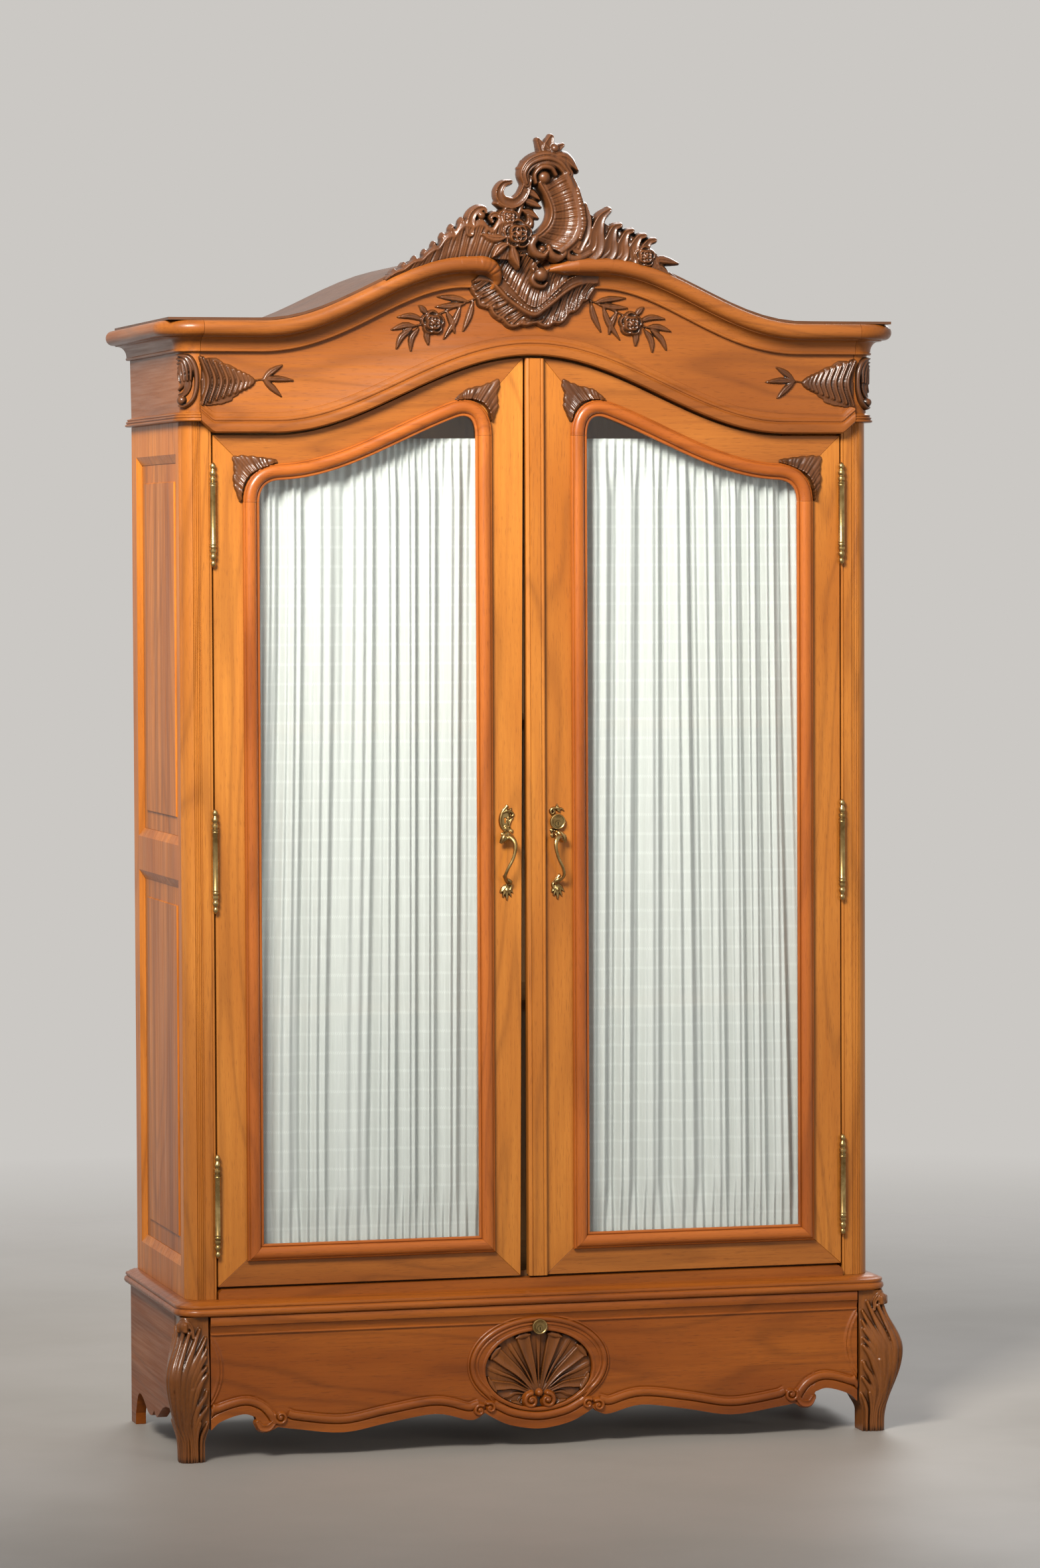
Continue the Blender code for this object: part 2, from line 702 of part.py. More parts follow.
def build_cornice():
    _, crown = hood_sections()
    back = FRIEZE_FRONT_Y + FRIEZE_THICKNESS
    rings = []
    for x in front_stations():
        stretch = math.sqrt(1.0 + slope(cornice_arch, x) ** 2)
        top = cornice_arch(x)
        ring = [(x, FRIEZE_FRONT_Y - reach, top + rise * stretch) for reach, rise in crown]
        rings.append([*ring, (x, back, top), (x, back, top - CORNICE_HEIGHT * stretch)])
    cornice = add("cornice_front", loft(rings), "walnut", round_angle=40)
    low = CROWN_Z - CORNICE_HEIGHT - 0.02
    cut(cornice, box(-CREST_NOTCH, CREST_NOTCH, FRIEZE_FRONT_Y - CORNICE_REACH - 0.01, FRIEZE_FRONT_Y - 0.002, low,
                     CREST_TOP))


def hood_stations():
    """Plan line of the hood's left or right return: round the corner and back along the side, with normals."""
    r = POST_RADIUS
    centre = (SIDE_X - r, FRIEZE_FRONT_Y + r)
    stations = [((BAND_X + FIT, FRIEZE_FRONT_Y), (0.0, -1.0))]
    for angle in spread(-math.pi / 2, 0.0, 8):
        normal = (math.cos(angle), math.sin(angle))
        stations.append(((centre[0] + r * normal[0], centre[1] + r * normal[1]), normal))
    stations.append(((SIDE_X, DEPTH), (1.0, 0.0)))
    return stations


def build_hood_sides():
    foot, crown = hood_sections()
    low = [(reach, POST_TOP + rise * 0.45) for reach, rise in foot]
    high = [(reach, CORNICE_TOP + rise) for reach, rise in crown]
    inner = -FRAME_THICKNESS
    profile = [(inner, POST_TOP), *low, (0.0, FRIEZE_TOP - FIT), *high, (inner, CORNICE_TOP)]
    rings = []
    for (x, y), (nx, ny) in hood_stations():
        rings.append([(x + nx * reach, y + ny * reach, z) for reach, z in profile])
    for name, side in SIDES:
        add(f"hood_side_{name}", mirrored(loft(rings), side), "walnut", round_angle=40)


def build_roof():
    """Thin bent board that closes the top and follows the cornice."""
    half = SIDE_X + CORNICE_REACH - ROOF_SETBACK
    under = [(x, cornice_arch(x) + FIT) for x in (-half, *front_stations(), half)]
    over = [(x, z + ROOF_THICKNESS) for x, z in reversed(under)]
    front = FRIEZE_FRONT_Y - CORNICE_REACH + ROOF_SETBACK
    roof = add("roof_board", prism([*under, *over], front, DEPTH, "Y"), "inner_wood")
    cut(roof, box(-CREST_NOTCH, CREST_NOTCH, front - 0.01, FRIEZE_FRONT_Y - 0.002, CORNICE_TOP, CREST_TOP))


# Crest


def taper(count, start, middle, end):
    """Widths that swell from start to middle and fall to end along a limb."""
    widths = []
    for t in spread(0.0, 1.0, count):
        near, far = (start, middle) if t < 0.5 else (end, middle)
        widths.append(near + (far - near) * math.sin(math.pi * t) ** 0.8)
    return widths


def build_crest():
    """Asymmetric carved crest: a tall C-scroll between two wings, above a shell that hangs over the frieze."""
    y = FRIEZE_FRONT_Y - CREST_REACH
    limbs = [
        # the tall C-scroll, from its upper volute round to its foot
        ([(0.012, 0.67), (0.034, 0.77), (0.062, 0.67), (0.074, 0.44), (0.070, 0.20), (0.040, 0.057), (0.004, 0.057),
          (-0.012, 0.145)], (0.012, 0.026, 0.010), 0.024),
        # finial leaf on top of the scroll
        ([(0.034, 0.737), (0.012, 0.833), (0.014, 0.92), (0.026, 0.98)], (0.014, 0.018, 0.006), 0.014),
        # small scroll on the left and its stem
        ([(-0.062, 0.58), (-0.072, 0.50), (-0.060, 0.42), (-0.042, 0.474), (-0.030, 0.605), (-0.010, 0.693),
          (0.016, 0.72)], (0.007, 0.013, 0.010), 0.016),
        ([(-0.060, 0.45), (-0.064, 0.34), (-0.060, 0.22), (-0.040, 0.08), (-0.010, -0.05)], (0.012, 0.026, 0.030),
         0.022),
    ]
    core = CREST_NOTCH - 0.004
    low = CROWN_Z - CORNICE_HEIGHT - 0.018
    stem = box(-core, core, y - 0.022, FRIEZE_FRONT_Y - 0.004, low, CROWN_Z + 0.014)
    body = add("crest_carving", stem, "carved_walnut", round_angle=50)
    for points, widths, depth in limbs:
        spine = [Vector((p.x, y, CROWN_Z + CREST_HEIGHT * p.y)) for p in smooth(points, 3)]
        join(body, tube(spine, taper(len(spine), *widths), taper(len(spine), 0.6 * depth, depth, 0.6 * depth)))
    join(body, crest_wing(-1, 0.265, 0.37, y), crest_wing(1, 0.235, 0.29, y))
    rose = [(ROSE_RADIUS * math.cos(a), ROSE_RADIUS * math.sin(a)) for a in spread(-1.4, 1.4, 6)]
    centre = (-0.047, y - 0.012, CROWN_Z + 0.175 * CREST_HEIGHT)
    join(body, turned([(0.0005, rose[0][1]), *rose, (0.0005, rose[-1][1])], centre, "Y", 10))
    join(body, crest_shell(y))


def crest_wing(side, reach, peak, y):
    """One ribbed wing that runs down the slope of the cornice."""
    xs = spread(0.040, reach, 9)
    foot = [(x * side, cornice_arch(x) + ROOF_THICKNESS + 0.0015) for x in xs]
    ridge = []
    for i, x in enumerate(xs):
        share = i / (len(xs) - 1)
        lift = (CROWN_Z + peak * CREST_HEIGHT - foot[i][1]) * (1.0 - half_cosine(share)) + 0.012
        ridge.append((x * side, foot[i][1] + lift - (0.007 if i % 2 else 0.0)))
    outline = [*foot, *reversed(ridge)]
    return prism(outline, y - 0.014, y + 0.012, "Y")


def crest_shell(y):
    """Scalloped shell below the stem, in front of the frieze and under the cornice."""
    lobes = []
    count = 16
    high = CROWN_Z - CORNICE_HEIGHT - 0.001
    for i in range(count + 1):
        share = -1.0 + 2.0 * i / count
        wave = 0.004 if i % 2 else 0.0
        drop = SHELL_DROP * math.cos(share * math.pi / 2) ** 0.55
        lobes.append((0.118 * share, high - drop - wave))
    return prism(lobes, y - 0.014, FRIEZE_FRONT_Y - FIT, "Y")


# Drawer


def skirt_line():
    """Serpentine lower edge of the drawer front from the left end to the right end, in (x, z)."""
    runs = (
        ((0.0, 0.035), (0.089, 0.044), (0.144, 0.060), (0.167, 0.070)),
        ((0.167, 0.070), (0.190, 0.060), (0.222, 0.058), (0.318, 0.072), (0.459, 0.060), (0.601, 0.045),
         (0.749, 0.056), (0.799, 0.061)),
        ((0.799, 0.061), (0.827, 0.054), (0.856, 0.064), (0.867, 0.082)),
        ((0.867, 0.082), (0.906, 0.088), (0.969, 0.076), (1.0, 0.060)),
    )
    centre, lobe, curl, arch = (smooth([(x * DRAWER_HALF, z) for x, z in run], 2) for run in runs)
    half = [*centre[:-1], *lobe[:-1], *curl[:-1], *arch]
    left = [Vector((-p.x, p.y)) for p in reversed(half[1:])]
    return [*left, *half]


def cartouche_line(grow=0.0, count=28):
    """Closed oval round the shell, anticlockwise, in (x, z)."""
    a, b = (half + grow for half in CARTOUCHE_HALF)
    line = []
    for i in range(count):
        angle = 2.0 * math.pi * i / count
        line.append(Vector((a * math.cos(angle), CARTOUCHE_Z + b * math.sin(angle))))
    return line


def build_drawer(axis):
    face = BASE_FRONT_Y
    skirt = skirt_line()
    outline = [*skirt, (DRAWER_HALF, DRAWER_TOP), (-DRAWER_HALF, DRAWER_TOP)]
    front = add("drawer_front", prism(outline, face, DRAWER_BACK_Y, "Y"), "walnut", axis, 40)
    rings = []
    section = [(0.0015, 0.004), (0.0015, -0.6 * SKIRT_RISE), (0.35 * SKIRT_BEAD, -SKIRT_RISE),
               (0.8 * SKIRT_BEAD, -0.5 * SKIRT_RISE), (SKIRT_BEAD, 0.004)]
    for here in skirt:
        x = here.x * (1.0 - 0.0015 / DRAWER_HALF)
        rings.append([(x, face + depth, here.y + rise) for rise, depth in section])
    join(front, loft(rings))
    rail = [(face + 0.004, DRAWER_TOP - 0.038), (face - 0.003, DRAWER_TOP - 0.032), (face - 0.006, DRAWER_TOP - 0.022),
            (face - 0.006, DRAWER_TOP - 0.0015), (face + 0.004, DRAWER_TOP - 0.0015)]
    join(front, prism(rail, -DRAWER_HALF + 0.0015, DRAWER_HALF - 0.0015, "X"))
    half_bead = CARTOUCHE_BEAD / 2
    oval = [cartouche_line(grow) for grow in (-half_bead, -0.5 * half_bead, 0.5 * half_bead, half_bead)]
    heights = (0.004, -0.009, -0.009, 0.004)
    join(front, loft([[(p.x, face + h, p.y) for p in ring] for ring, h in zip(oval, heights)], loop=True))
    join(front, drawer_shell(face))
    cut(front, lock_hole(0.0, DRAWER_LOCK_Z))
    build_drawer_box(axis)


def drawer_shell(face):
    """Fluted shell inside the oval, fanned from a point near its foot."""
    root = Vector((0.0, CARTOUCHE_Z - 0.060))
    per_flute = 4
    count = SHELL_FLUTES * per_flute
    rings = []
    for share in (0.16, 0.6, 0.96):
        ring = []
        for i in range(count + 1):
            angle = math.pi * (-0.08 + 1.16 * i / count)
            ray = Vector((math.cos(angle), math.sin(angle)))
            limit = oval_distance(root, ray, -CARTOUCHE_BEAD / 2 - 0.001)
            wave = abs(math.sin(math.pi * i / per_flute))
            lift = SHELL_RISE * (0.35 + 0.65 * wave) * (1.0 if share < 0.9 else 0.5)
            point = root + ray * (limit * share)
            ring.append((point, lift))
        rings.append(ring)
    verts = []
    for ring in rings:
        verts.extend((p.x, face - lift, p.y) for p, lift in ring)
    for ring in rings:
        verts.extend((p.x, face + 0.003, p.y) for p, lift in ring)
    width = count + 1
    layers = len(rings)
    faces = []
    for r in range(layers - 1):
        for i in range(count):
            a = r * width + i
            faces.append((a, a + 1, a + width + 1, a + width))
            b = a + layers * width
            faces.append((b, b + width, b + width + 1, b + 1))
    rim = list(range(width))
    rim += [r * width + count for r in range(1, layers)]
    rim += [(layers - 1) * width + i for i in range(count - 1, -1, -1)]
    rim += [r * width for r in range(layers - 2, 0, -1)]
    for a, b in zip(rim, rim[1:] + rim[:1]):
        faces.append((a, b, b + layers * width, a + layers * width))
    return [Vector(v) for v in verts], faces


def oval_distance(root, ray, grow):
    """Distance from a point inside the oval to its edge along a ray."""
    a, b = (half + grow for half in CARTOUCHE_HALF)
    u, v = root.x / a, (root.y - CARTOUCHE_Z) / b
    p, q = ray.x / a, ray.y / b
    k, m, n = p * p + q * q, u * p + v * q, u * u + v * v - 1.0
    return (-m + math.sqrt(m * m - k * n)) / k


def build_drawer_box(axis):
    outer = DRAWER_HALF - DRAWER_BOX_INSET
    low = RUNNER_TOP + FIT
    high = DRAWER_TOP - DRAWER_HEADROOM
    y0 = DRAWER_BACK_Y + FIT
    y1 = DEPTH - BASE_BOARD - DRAWER_REAR_GAP
    inner = outer - DRAWER_WALL
    for name, side in SIDES:
        wall = mirrored(box(inner, outer, y0, y1, low, high), side)
        add(f"drawer_side_{name}", wall, "inner_wood", axis)
    inner -= FIT
    back = box(-inner, inner, y1 - DRAWER_WALL, y1, low, high - 0.010)
    add("drawer_back", back, "inner_wood", axis)
    floor = low + DRAWER_BOTTOM_RISE
    bottom = box(-inner, inner, y0, y1 - DRAWER_WALL - FIT, floor, floor + DRAWER_BOTTOM)
    add("drawer_bottom", bottom, "inner_wood", axis)


# Locks


def lock_hole(x, z):
    """Cutter for the hole that a lock barrel sits in."""
    return rod_shape(BARREL_RADIUS + FIT, 0.2, (x, -0.1, z), sides=LOCK_SIDES)


def lock_barrel(name, x, z, face, back, axis):
    """Cylinder lock: rosette on the face, barrel through the wood and a bore below its centre for the plug."""
    rim = LOCK_RADIUS
    body = add(name, rod_shape(BARREL_RADIUS, back - face + 0.001, (x, face - 0.001, z), sides=LOCK_SIDES), "brass", axis, 40)
    rosette = [(0.0005, -0.0042), (0.6 * rim, -0.0042), (0.75 * rim, -0.0034), (0.88 * rim, -0.0046),
               (rim, -0.003), (rim, -FIT), (0.0005, -FIT)]
    join(body, turned(rosette, (x, face, z), "Y", LOCK_SIDES))
    cut(body, rod_shape(PLUG_RADIUS + PLUG_RUN, 0.1, (x, face - 0.05, z - PLUG_DROP), sides=LOCK_SIDES))
    return body


def lock_plug(name, x, z, face, back, length, direction, axis):
    """Turning plug with its keyway and, behind the wood, the cam that it swings."""
    centre = z - PLUG_DROP
    depth = back - face
    plug = add(name, rod_shape(PLUG_RADIUS, depth + 0.0075, (x, face - 0.0052, centre), sides=LOCK_SIDES), "brass", axis, 40)
    dx, dz = direction
    half = CAM_WIDTH / 2
    across = (-dz * half, dx * half)
    start = (x - dx * half, centre - dz * half)
    end = (x + dx * length, centre + dz * length)
    outline = [(start[0] + across[0], start[1] + across[1]), (start[0] - across[0], start[1] - across[1]),
               (end[0] - across[0], end[1] - across[1]), (end[0] + across[0], end[1] + across[1])]
    join(plug, prism(outline, back + CAM_GAP, back + CAM_GAP + CAM_THICKNESS, "Y"))
    cut(plug, box(x - 0.0007, x + 0.0007, face - 0.02, face + 0.004, centre - 0.0035, centre + 0.0035))
    return plug


def build_drawer_lock(axis, plug_axis):
    lock_barrel("drawer_lock", 0.0, DRAWER_LOCK_Z, BASE_FRONT_Y - 0.0092, DRAWER_BACK_Y, axis)
    lock_plug("drawer_lock_plug", 0.0, DRAWER_LOCK_Z, BASE_FRONT_Y - 0.0092, DRAWER_BACK_Y, DRAWER_CAM_LENGTH, (-1, 0),
              plug_axis)


def build_door_lock(axis, plug_axis):
    face = -HANDLE_PLATE - FIT
    x = HANDLE_X["right"]
    lock_barrel("door_lock", x, LOCK_Z, face, DOOR_THICKNESS, axis)
    lock_plug("door_lock_plug", x, LOCK_Z, face, DOOR_THICKNESS, CAM_LENGTH, (0, -1), plug_axis)


def build_door_bolt(axis):
    """Flat slide bolt inside the left door. Pushed up, it stands behind the frieze."""
    top = door_arch(BOLT_X) - DOOR_GAP - BOLT_DROP
    y0 = DOOR_THICKNESS + FIT
    half = BOLT_WIDTH / 2
    bolt = add("left_door_bolt", box(BOLT_X - half, BOLT_X + half, y0, y0 + 0.006, top - BOLT_LENGTH, top), "brass", axis)
    join(bolt, rod_shape(0.004, 0.014, (BOLT_X, y0 + 0.004, top - 0.75 * BOLT_LENGTH), sides=10))


# Doors


def glass_line():
    """Visible glass of the right door: straight sides and foot, and a top that follows the arch."""
    x0, x1, r = GLASS_INNER_X, GLASS_OUTER_X, GLASS_CORNER

    def top(x):
        return door_arch(x) - GLASS_DROP

    xs = spread(x1 - r, x0 + r, 12)
    right_z = top(xs[0]) + slope(top, xs[0]) * r
    left_z = top(xs[-1]) - slope(top, xs[-1]) * r
    line = [Vector((x0, GLASS_BOTTOM)), Vector((x1, GLASS_BOTTOM))]
    line += bezier((x1, right_z - r), (x1, right_z), (xs[0], top(xs[0])), 4)
    line += [Vector((x, top(x))) for x in xs[:-1]]
    line += bezier((xs[-1], top(xs[-1])), (x0, left_z), (x0, left_z - 1.2 * r), 4)
    line.append(Vector((x0, left_z - 1.2 * r)))
    return line


def door_line(name):
    """Outer edge of a door: hinge edge, arched top and meeting edge."""
    side = dict(SIDES)[name]
    low = DOOR_BOTTOM
    if name == "left":
        meeting = [(MEETING_X, None), (MEETING_X - MEETING_TAPER, low)]
    else:
        meeting = [(RIGHT_DOOR_EDGE_X, None), (RIGHT_DOOR_EDGE_X, low)]
    start = meeting[0][0]
    xs = spread(side * DOOR_OUTER_X, start, 17)
    line = [(side * DOOR_OUTER_X, low)]
    line += [(x, door_arch(x) - DOOR_GAP) for x in xs]
    line.append(meeting[1])
    return line


def flip(line, side):
    """The same closed line on one side of the armoire, still anticlockwise."""
    if side > 0:
        return line
    return [Vector((-p.x, p.y)) for p in reversed(line)]


def build_door(name, side, axis):
    glass = flip(glass_line(), side)
    aperture = offset(glass, REBATE)
    frame = add(f"{name}_door_frame", prism(door_line(name), 0.0, DOOR_THICKNESS, "Y"), "walnut", axis, 40)
    cut(frame, prism(aperture, -0.01, DOOR_THICKNESS + 0.01, "Y"))
    if name == "right":
        cut(frame, lock_hole(HANDLE_X[name], LOCK_Z))
    section = [(0.0, -FIT), (0.0, -0.30 * BEAD_HEIGHT), (0.20 * BEAD_WIDTH, -0.40 * BEAD_HEIGHT),
               (0.36 * BEAD_WIDTH, -0.85 * BEAD_HEIGHT), (0.60 * BEAD_WIDTH, -BEAD_HEIGHT),
               (0.86 * BEAD_WIDTH, -0.80 * BEAD_HEIGHT), (BEAD_WIDTH, -0.30 * BEAD_HEIGHT), (BEAD_WIDTH, -FIT)]
    rings = [[(p.x, y, p.y) for p in offset(glass, out)] for out, y in section]
    add(f"{name}_glazing_bead", loft(rings, loop=True), "walnut", axis, 40)
    pane = [(p.x, p.y) for p in offset(glass, REBATE - FIT)]
    add(f"{name}_glass", prism(pane, FIT, FIT + GLASS_THICKNESS, "Y"), "glass", axis)
    build_curtain(name, side, axis)
    build_handle(name, axis)


def build_astragal(axis):
    """Moulded strip on the right door that covers the joint between the doors."""
    low = DOOR_BOTTOM
    high = door_arch(ASTRAGAL_X + ASTRAGAL_HALF) - DOOR_GAP - 0.001
    half = ASTRAGAL_HALF
    depth = ASTRAGAL_DEPTH
    section = [(-half, -FIT), (-half, -0.45 * depth), (-0.75 * half, -0.55 * depth), (-0.62 * half, -depth),
               (0.62 * half, -depth), (0.75 * half, -0.55 * depth), (half, -0.45 * depth), (half, -FIT)]
    outline = [(ASTRAGAL_X + x, y) for x, y in section]
    add("meeting_astragal", prism(outline, low, high, "Z"), "walnut", axis, 40)


def build_curtain(name, side, axis):
    """Gathered voile panel behind the glass, and the two bent rods that carry and stretch it."""
    x0 = GLASS_INNER_X - CURTAIN_OVERLAP
    x1 = GLASS_OUTER_X + CURTAIN_OVERLAP
    per_fold = 6
    count = CURTAIN_FOLDS * per_fold
    half = CURTAIN_THICKNESS / 2

    def ring(z, fold_depth):
        front, back = [], []
        for i in range(count + 1):
            share = i / count
            x = x0 + (x1 - x0) * share
            wave = math.sin(2 * math.pi * i / per_fold) * (0.75 + 0.25 * math.sin(11.0 * share))
            front.append((x, CURTAIN_Y + fold_depth * wave - half, z))
            back.append((x, CURTAIN_Y + fold_depth * wave + half, z))
        return [*front, *reversed(back)]

    top = door_arch(x1) - DOOR_GAP - CURTAIN_TOP_GAP
    bottom = GLASS_BOTTOM - CURTAIN_TUCK
    rings = [
        ring(bottom, CURTAIN_GATHER_DEPTH),
        ring(bottom + CURTAIN_POCKET, CURTAIN_GATHER_DEPTH),
        ring(bottom + 3 * CURTAIN_POCKET, CURTAIN_FOLD_DEPTH),
        ring(top - 3 * CURTAIN_POCKET, CURTAIN_FOLD_DEPTH),
        ring(top - CURTAIN_POCKET, CURTAIN_GATHER_DEPTH),
        ring(top, CURTAIN_GATHER_DEPTH),
    ]
    add(f"{name}_curtain", mirrored(loft(rings), side), "voile", axis, 60)
    rod_y = CURTAIN_Y + CURTAIN_GATHER_DEPTH + half + FIT + ROD_RADIUS
    ends = (x0 - ROD_INSET + 0.010, x1 + ROD_INSET - 0.010)
    levels = {"bottom": bottom + 0.5 * CURTAIN_POCKET, "top": top - 0.5 * CURTAIN_POCKET}
    for level, z in levels.items():
        build_rod(f"{name}_curtain_rod_{level}", side, ends, rod_y, z, axis)


def build_rod(name, side, ends, y, z, axis):
    """Brass rod whose bent ends stand on the back of the door."""
    foot = DOOR_THICKNESS + FIT
    bend = 2.5 * ROD_RADIUS
    x0, x1 = ends[0] - ROD_INSET, ends[1] + ROD_INSET
    path = [(x0, foot), (x0, y - bend), (x0 + 0.3 * bend, y - 0.3 * bend), (x0 + bend, y), (x1 - bend, y),
            (x1 - 0.3 * bend, y - 0.3 * bend), (x1, y - bend), (x1, foot)]
    line = bpy.data.curves.new(name, "CURVE")
    line.dimensions = "3D"
    line.bevel_depth = ROD_RADIUS
    line.bevel_resolution = 2
    line.use_fill_caps = True
    spline = line.splines.new("POLY")
    spline.points.add(len(path) - 1)
    for point, (x, py) in zip(spline.points, path):
        point.co = (side * x, py, z, 1.0)
    line.materials.append(finish_material("brass"))
    made = bpy.data.objects.new(name, line)
    bpy.context.scene.collection.objects.link(made)
    made.parent = axis
    made.matrix_parent_inverse = axis.matrix_world.inverted()


def build_handle(name, axis):
    """Cast pull: a plate round the keyhole, a curved grip that stands off the door and a leaf at its foot."""
    x = HANDLE_X[name]
    turn = 1 if name == "left" else -1
    top = HANDLE_TOP
    foot = top - HANDLE_LENGTH
    back = -FIT
    plate = [(0.021 * math.sin(a) * (0.72 if math.cos(a) > 0 else 1.0), 0.036 * math.cos(a))
             for a in spread(0.0, 2 * math.pi, 19)[:-1]]
    outline = [(x + px, LOCK_Z + 0.003 + pz) for px, pz in plate]
    pull = add(f"{name}_handle", prism(outline, back - HANDLE_PLATE, back, "Y"), "brass", axis, 40)
    leaf = [(0.017 * math.sin(a), 0.021 * math.cos(a)) for a in spread(0.0, 2 * math.pi, 13)[:-1]]
    join(pull, prism([(x + px, foot + 0.022 + pz) for px, pz in leaf], back - HANDLE_PLATE, back, "Y"))
    reach = HANDLE_REACH
    grip = smooth([(x, back - 0.0028, LOCK_Z - 0.020), (x - 0.004 * turn, back - 0.55 * reach, LOCK_Z - 0.030),
                   (x + 0.006 * turn, back - reach, LOCK_Z - 0.048), (x - 0.001 * turn, back - reach, LOCK_Z - 0.080),
                   (x - 0.010 * turn, back - 0.7 * reach, LOCK_Z - 0.105), (x, back - 0.0034, foot + 0.024)], 3)
    rings = []
    for i, point in enumerate(grip):
        ahead = (grip[min(i + 1, len(grip) - 1)] - grip[max(i - 1, 0)]).normalized()
        across = Vector((1.0, 0.0, 0.0)) - ahead * ahead.x
        across.normalize()
        out = ahead.cross(across)
        share = i / (len(grip) - 1)
        wide = 0.0042 + 0.0035 * (1.0 - share)
        ring = []
        for k in range(8):
            angle = 2.0 * math.pi * k / 8
            ring.append(point + across * (wide * math.cos(angle)) + out * (0.0042 * math.sin(angle)))
        rings.append(ring)
    join(pull, loft(rings))
    if name == "right":
        cut(pull, lock_hole(x, LOCK_Z))


# Hinges


def finial_profile(length, radius):
    """Turned finial above a knuckle, as (radius, height)."""
    return [
        (radius, 0.0),
        (FINIAL_SWELL * radius, 0.10 * length),
        (0.80 * radius, 0.22 * length),
        (1.02 * radius, 0.40 * length),
        (0.78 * radius, 0.62 * length),
        (0.94 * radius, 0.74 * length),
        (0.0005, length),
    ]


def build_hinge(name, side, level, z, axis):
    """Barrel hinge: the lower knuckle with its pin on the post, the upper knuckle on the door."""
    centre = (side * HINGE_X, HINGE_Y, z)
    knuckle = HINGE_LENGTH / 2 - HINGE_FINIAL
    r = HINGE_RADIUS
    joint = FIT / 2
    finial = finial_profile(HINGE_FINIAL, r)
    pin = HINGE_PIN_RADIUS
    low = [(0.0005, HINGE_PIN_LENGTH), (pin, HINGE_PIN_LENGTH), (pin, -joint), (r, -joint)]
    low += [(radius, -knuckle - height) for radius, height in finial]
    post_half = add(f"{name}_hinge_{level}_pin", turned(low, centre), "brass", None, 40)
    bore = pin + HINGE_RUN
    high = [(radius, knuckle + height) for radius, height in reversed(finial)]
    high += [(r, joint), (bore, joint), (bore, HINGE_PIN_LENGTH + HINGE_RUN), (0.0005, HINGE_PIN_LENGTH + HINGE_RUN)]
    door_half = add(f"{name}_hinge_{level}_knuckle", turned(high, centre), "brass", axis, 40)
    x0, x1 = side * HINGE_X - HINGE_LEAF / 2, side * HINGE_X + HINGE_LEAF / 2
    y0, y1 = HINGE_Y + 0.7 * r, HINGE_Y + r + HINGE_LEAF_DEPTH
    join(post_half, box(x0, x1, y0, y1, z - knuckle + 0.004, z - 0.004))
    join(door_half, box(x0, x1, y0, y1, z + 0.004, z + knuckle - 0.004))


def centre_on_origin():
    """Moves the whole armoire along Y so that its box is centred there."""
    bpy.context.view_layer.update()
    graph = bpy.context.evaluated_depsgraph_get()
    ys = []
    for piece in bpy.context.scene.objects:
        if piece.type == "MESH" and not piece.hide_render:
            shape = piece.evaluated_get(graph)
            ys.extend((shape.matrix_world @ Vector(corner)).y for corner in shape.bound_box)
    shift = -(min(ys) + max(ys)) / 2.0
    for piece in bpy.context.scene.objects:
        if piece.parent is None:
            piece.location.y += shift


def main():
    clear_scene()
    build_legs()
    build_base()
    build_base_top()
    build_posts()
    build_sides()
    build_back()
    build_shelves()
    build_frieze()
    build_cornice()
    build_hood_sides()
    build_roof()
    build_crest()
    drawer_axis = axis_empty("drawer_axis", (0.0, BASE_FRONT_Y, DRAWER_LOCK_Z))
    build_drawer(drawer_axis)
    build_drawer_lock(drawer_axis, axis_empty("drawer_plug_axis", (0.0, BASE_FRONT_Y, DRAWER_LOCK_Z - PLUG_DROP)))
    for name, side in SIDES:
        axis = axis_empty(f"{name}_door_axis", (side * HINGE_X, HINGE_Y, 0.0))
        build_door(name, side, axis)
        low = DOOR_BOTTOM + HINGE_INSET
        high = SHOULDER_Z - HINGE_INSET
        for level, z in {"bottom": low, "middle": (low + high) / 2, "top": high}.items():
            build_hinge(name, side, level, z, axis)
        if name == "right":
            build_astragal(axis)
            build_door_lock(axis, axis_empty("door_plug_axis", (HANDLE_X[name], 0.0, LOCK_Z - PLUG_DROP)))
        else:
            build_door_bolt(axis_empty("door_bolt_axis", (BOLT_X, DOOR_THICKNESS, 0.0)))
    centre_on_origin()


main()
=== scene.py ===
import math

import bmesh
import bpy
import numpy as np
from mathutils import Matrix, Vector


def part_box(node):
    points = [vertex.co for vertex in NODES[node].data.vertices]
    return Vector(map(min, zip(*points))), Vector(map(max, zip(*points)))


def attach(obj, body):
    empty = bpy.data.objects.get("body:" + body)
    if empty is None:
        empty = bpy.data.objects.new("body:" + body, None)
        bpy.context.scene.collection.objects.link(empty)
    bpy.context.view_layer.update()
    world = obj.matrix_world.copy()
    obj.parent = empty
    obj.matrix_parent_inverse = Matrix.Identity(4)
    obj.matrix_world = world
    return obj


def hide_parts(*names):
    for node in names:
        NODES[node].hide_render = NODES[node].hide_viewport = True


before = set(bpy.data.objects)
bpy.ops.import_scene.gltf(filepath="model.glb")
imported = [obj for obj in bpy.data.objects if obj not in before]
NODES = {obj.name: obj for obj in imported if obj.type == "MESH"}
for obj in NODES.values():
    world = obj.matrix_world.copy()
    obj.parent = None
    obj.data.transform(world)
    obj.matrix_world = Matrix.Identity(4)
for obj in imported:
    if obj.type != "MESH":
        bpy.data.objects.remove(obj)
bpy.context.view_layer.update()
SIDES = (("left", -1), ("right", 1))
MM = 0.001

# Row frame y of the door faces. Depths below are measured from there, towards the back.
FACE_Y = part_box("right_door_frame")[0].y


# Stage: camera, floor, light

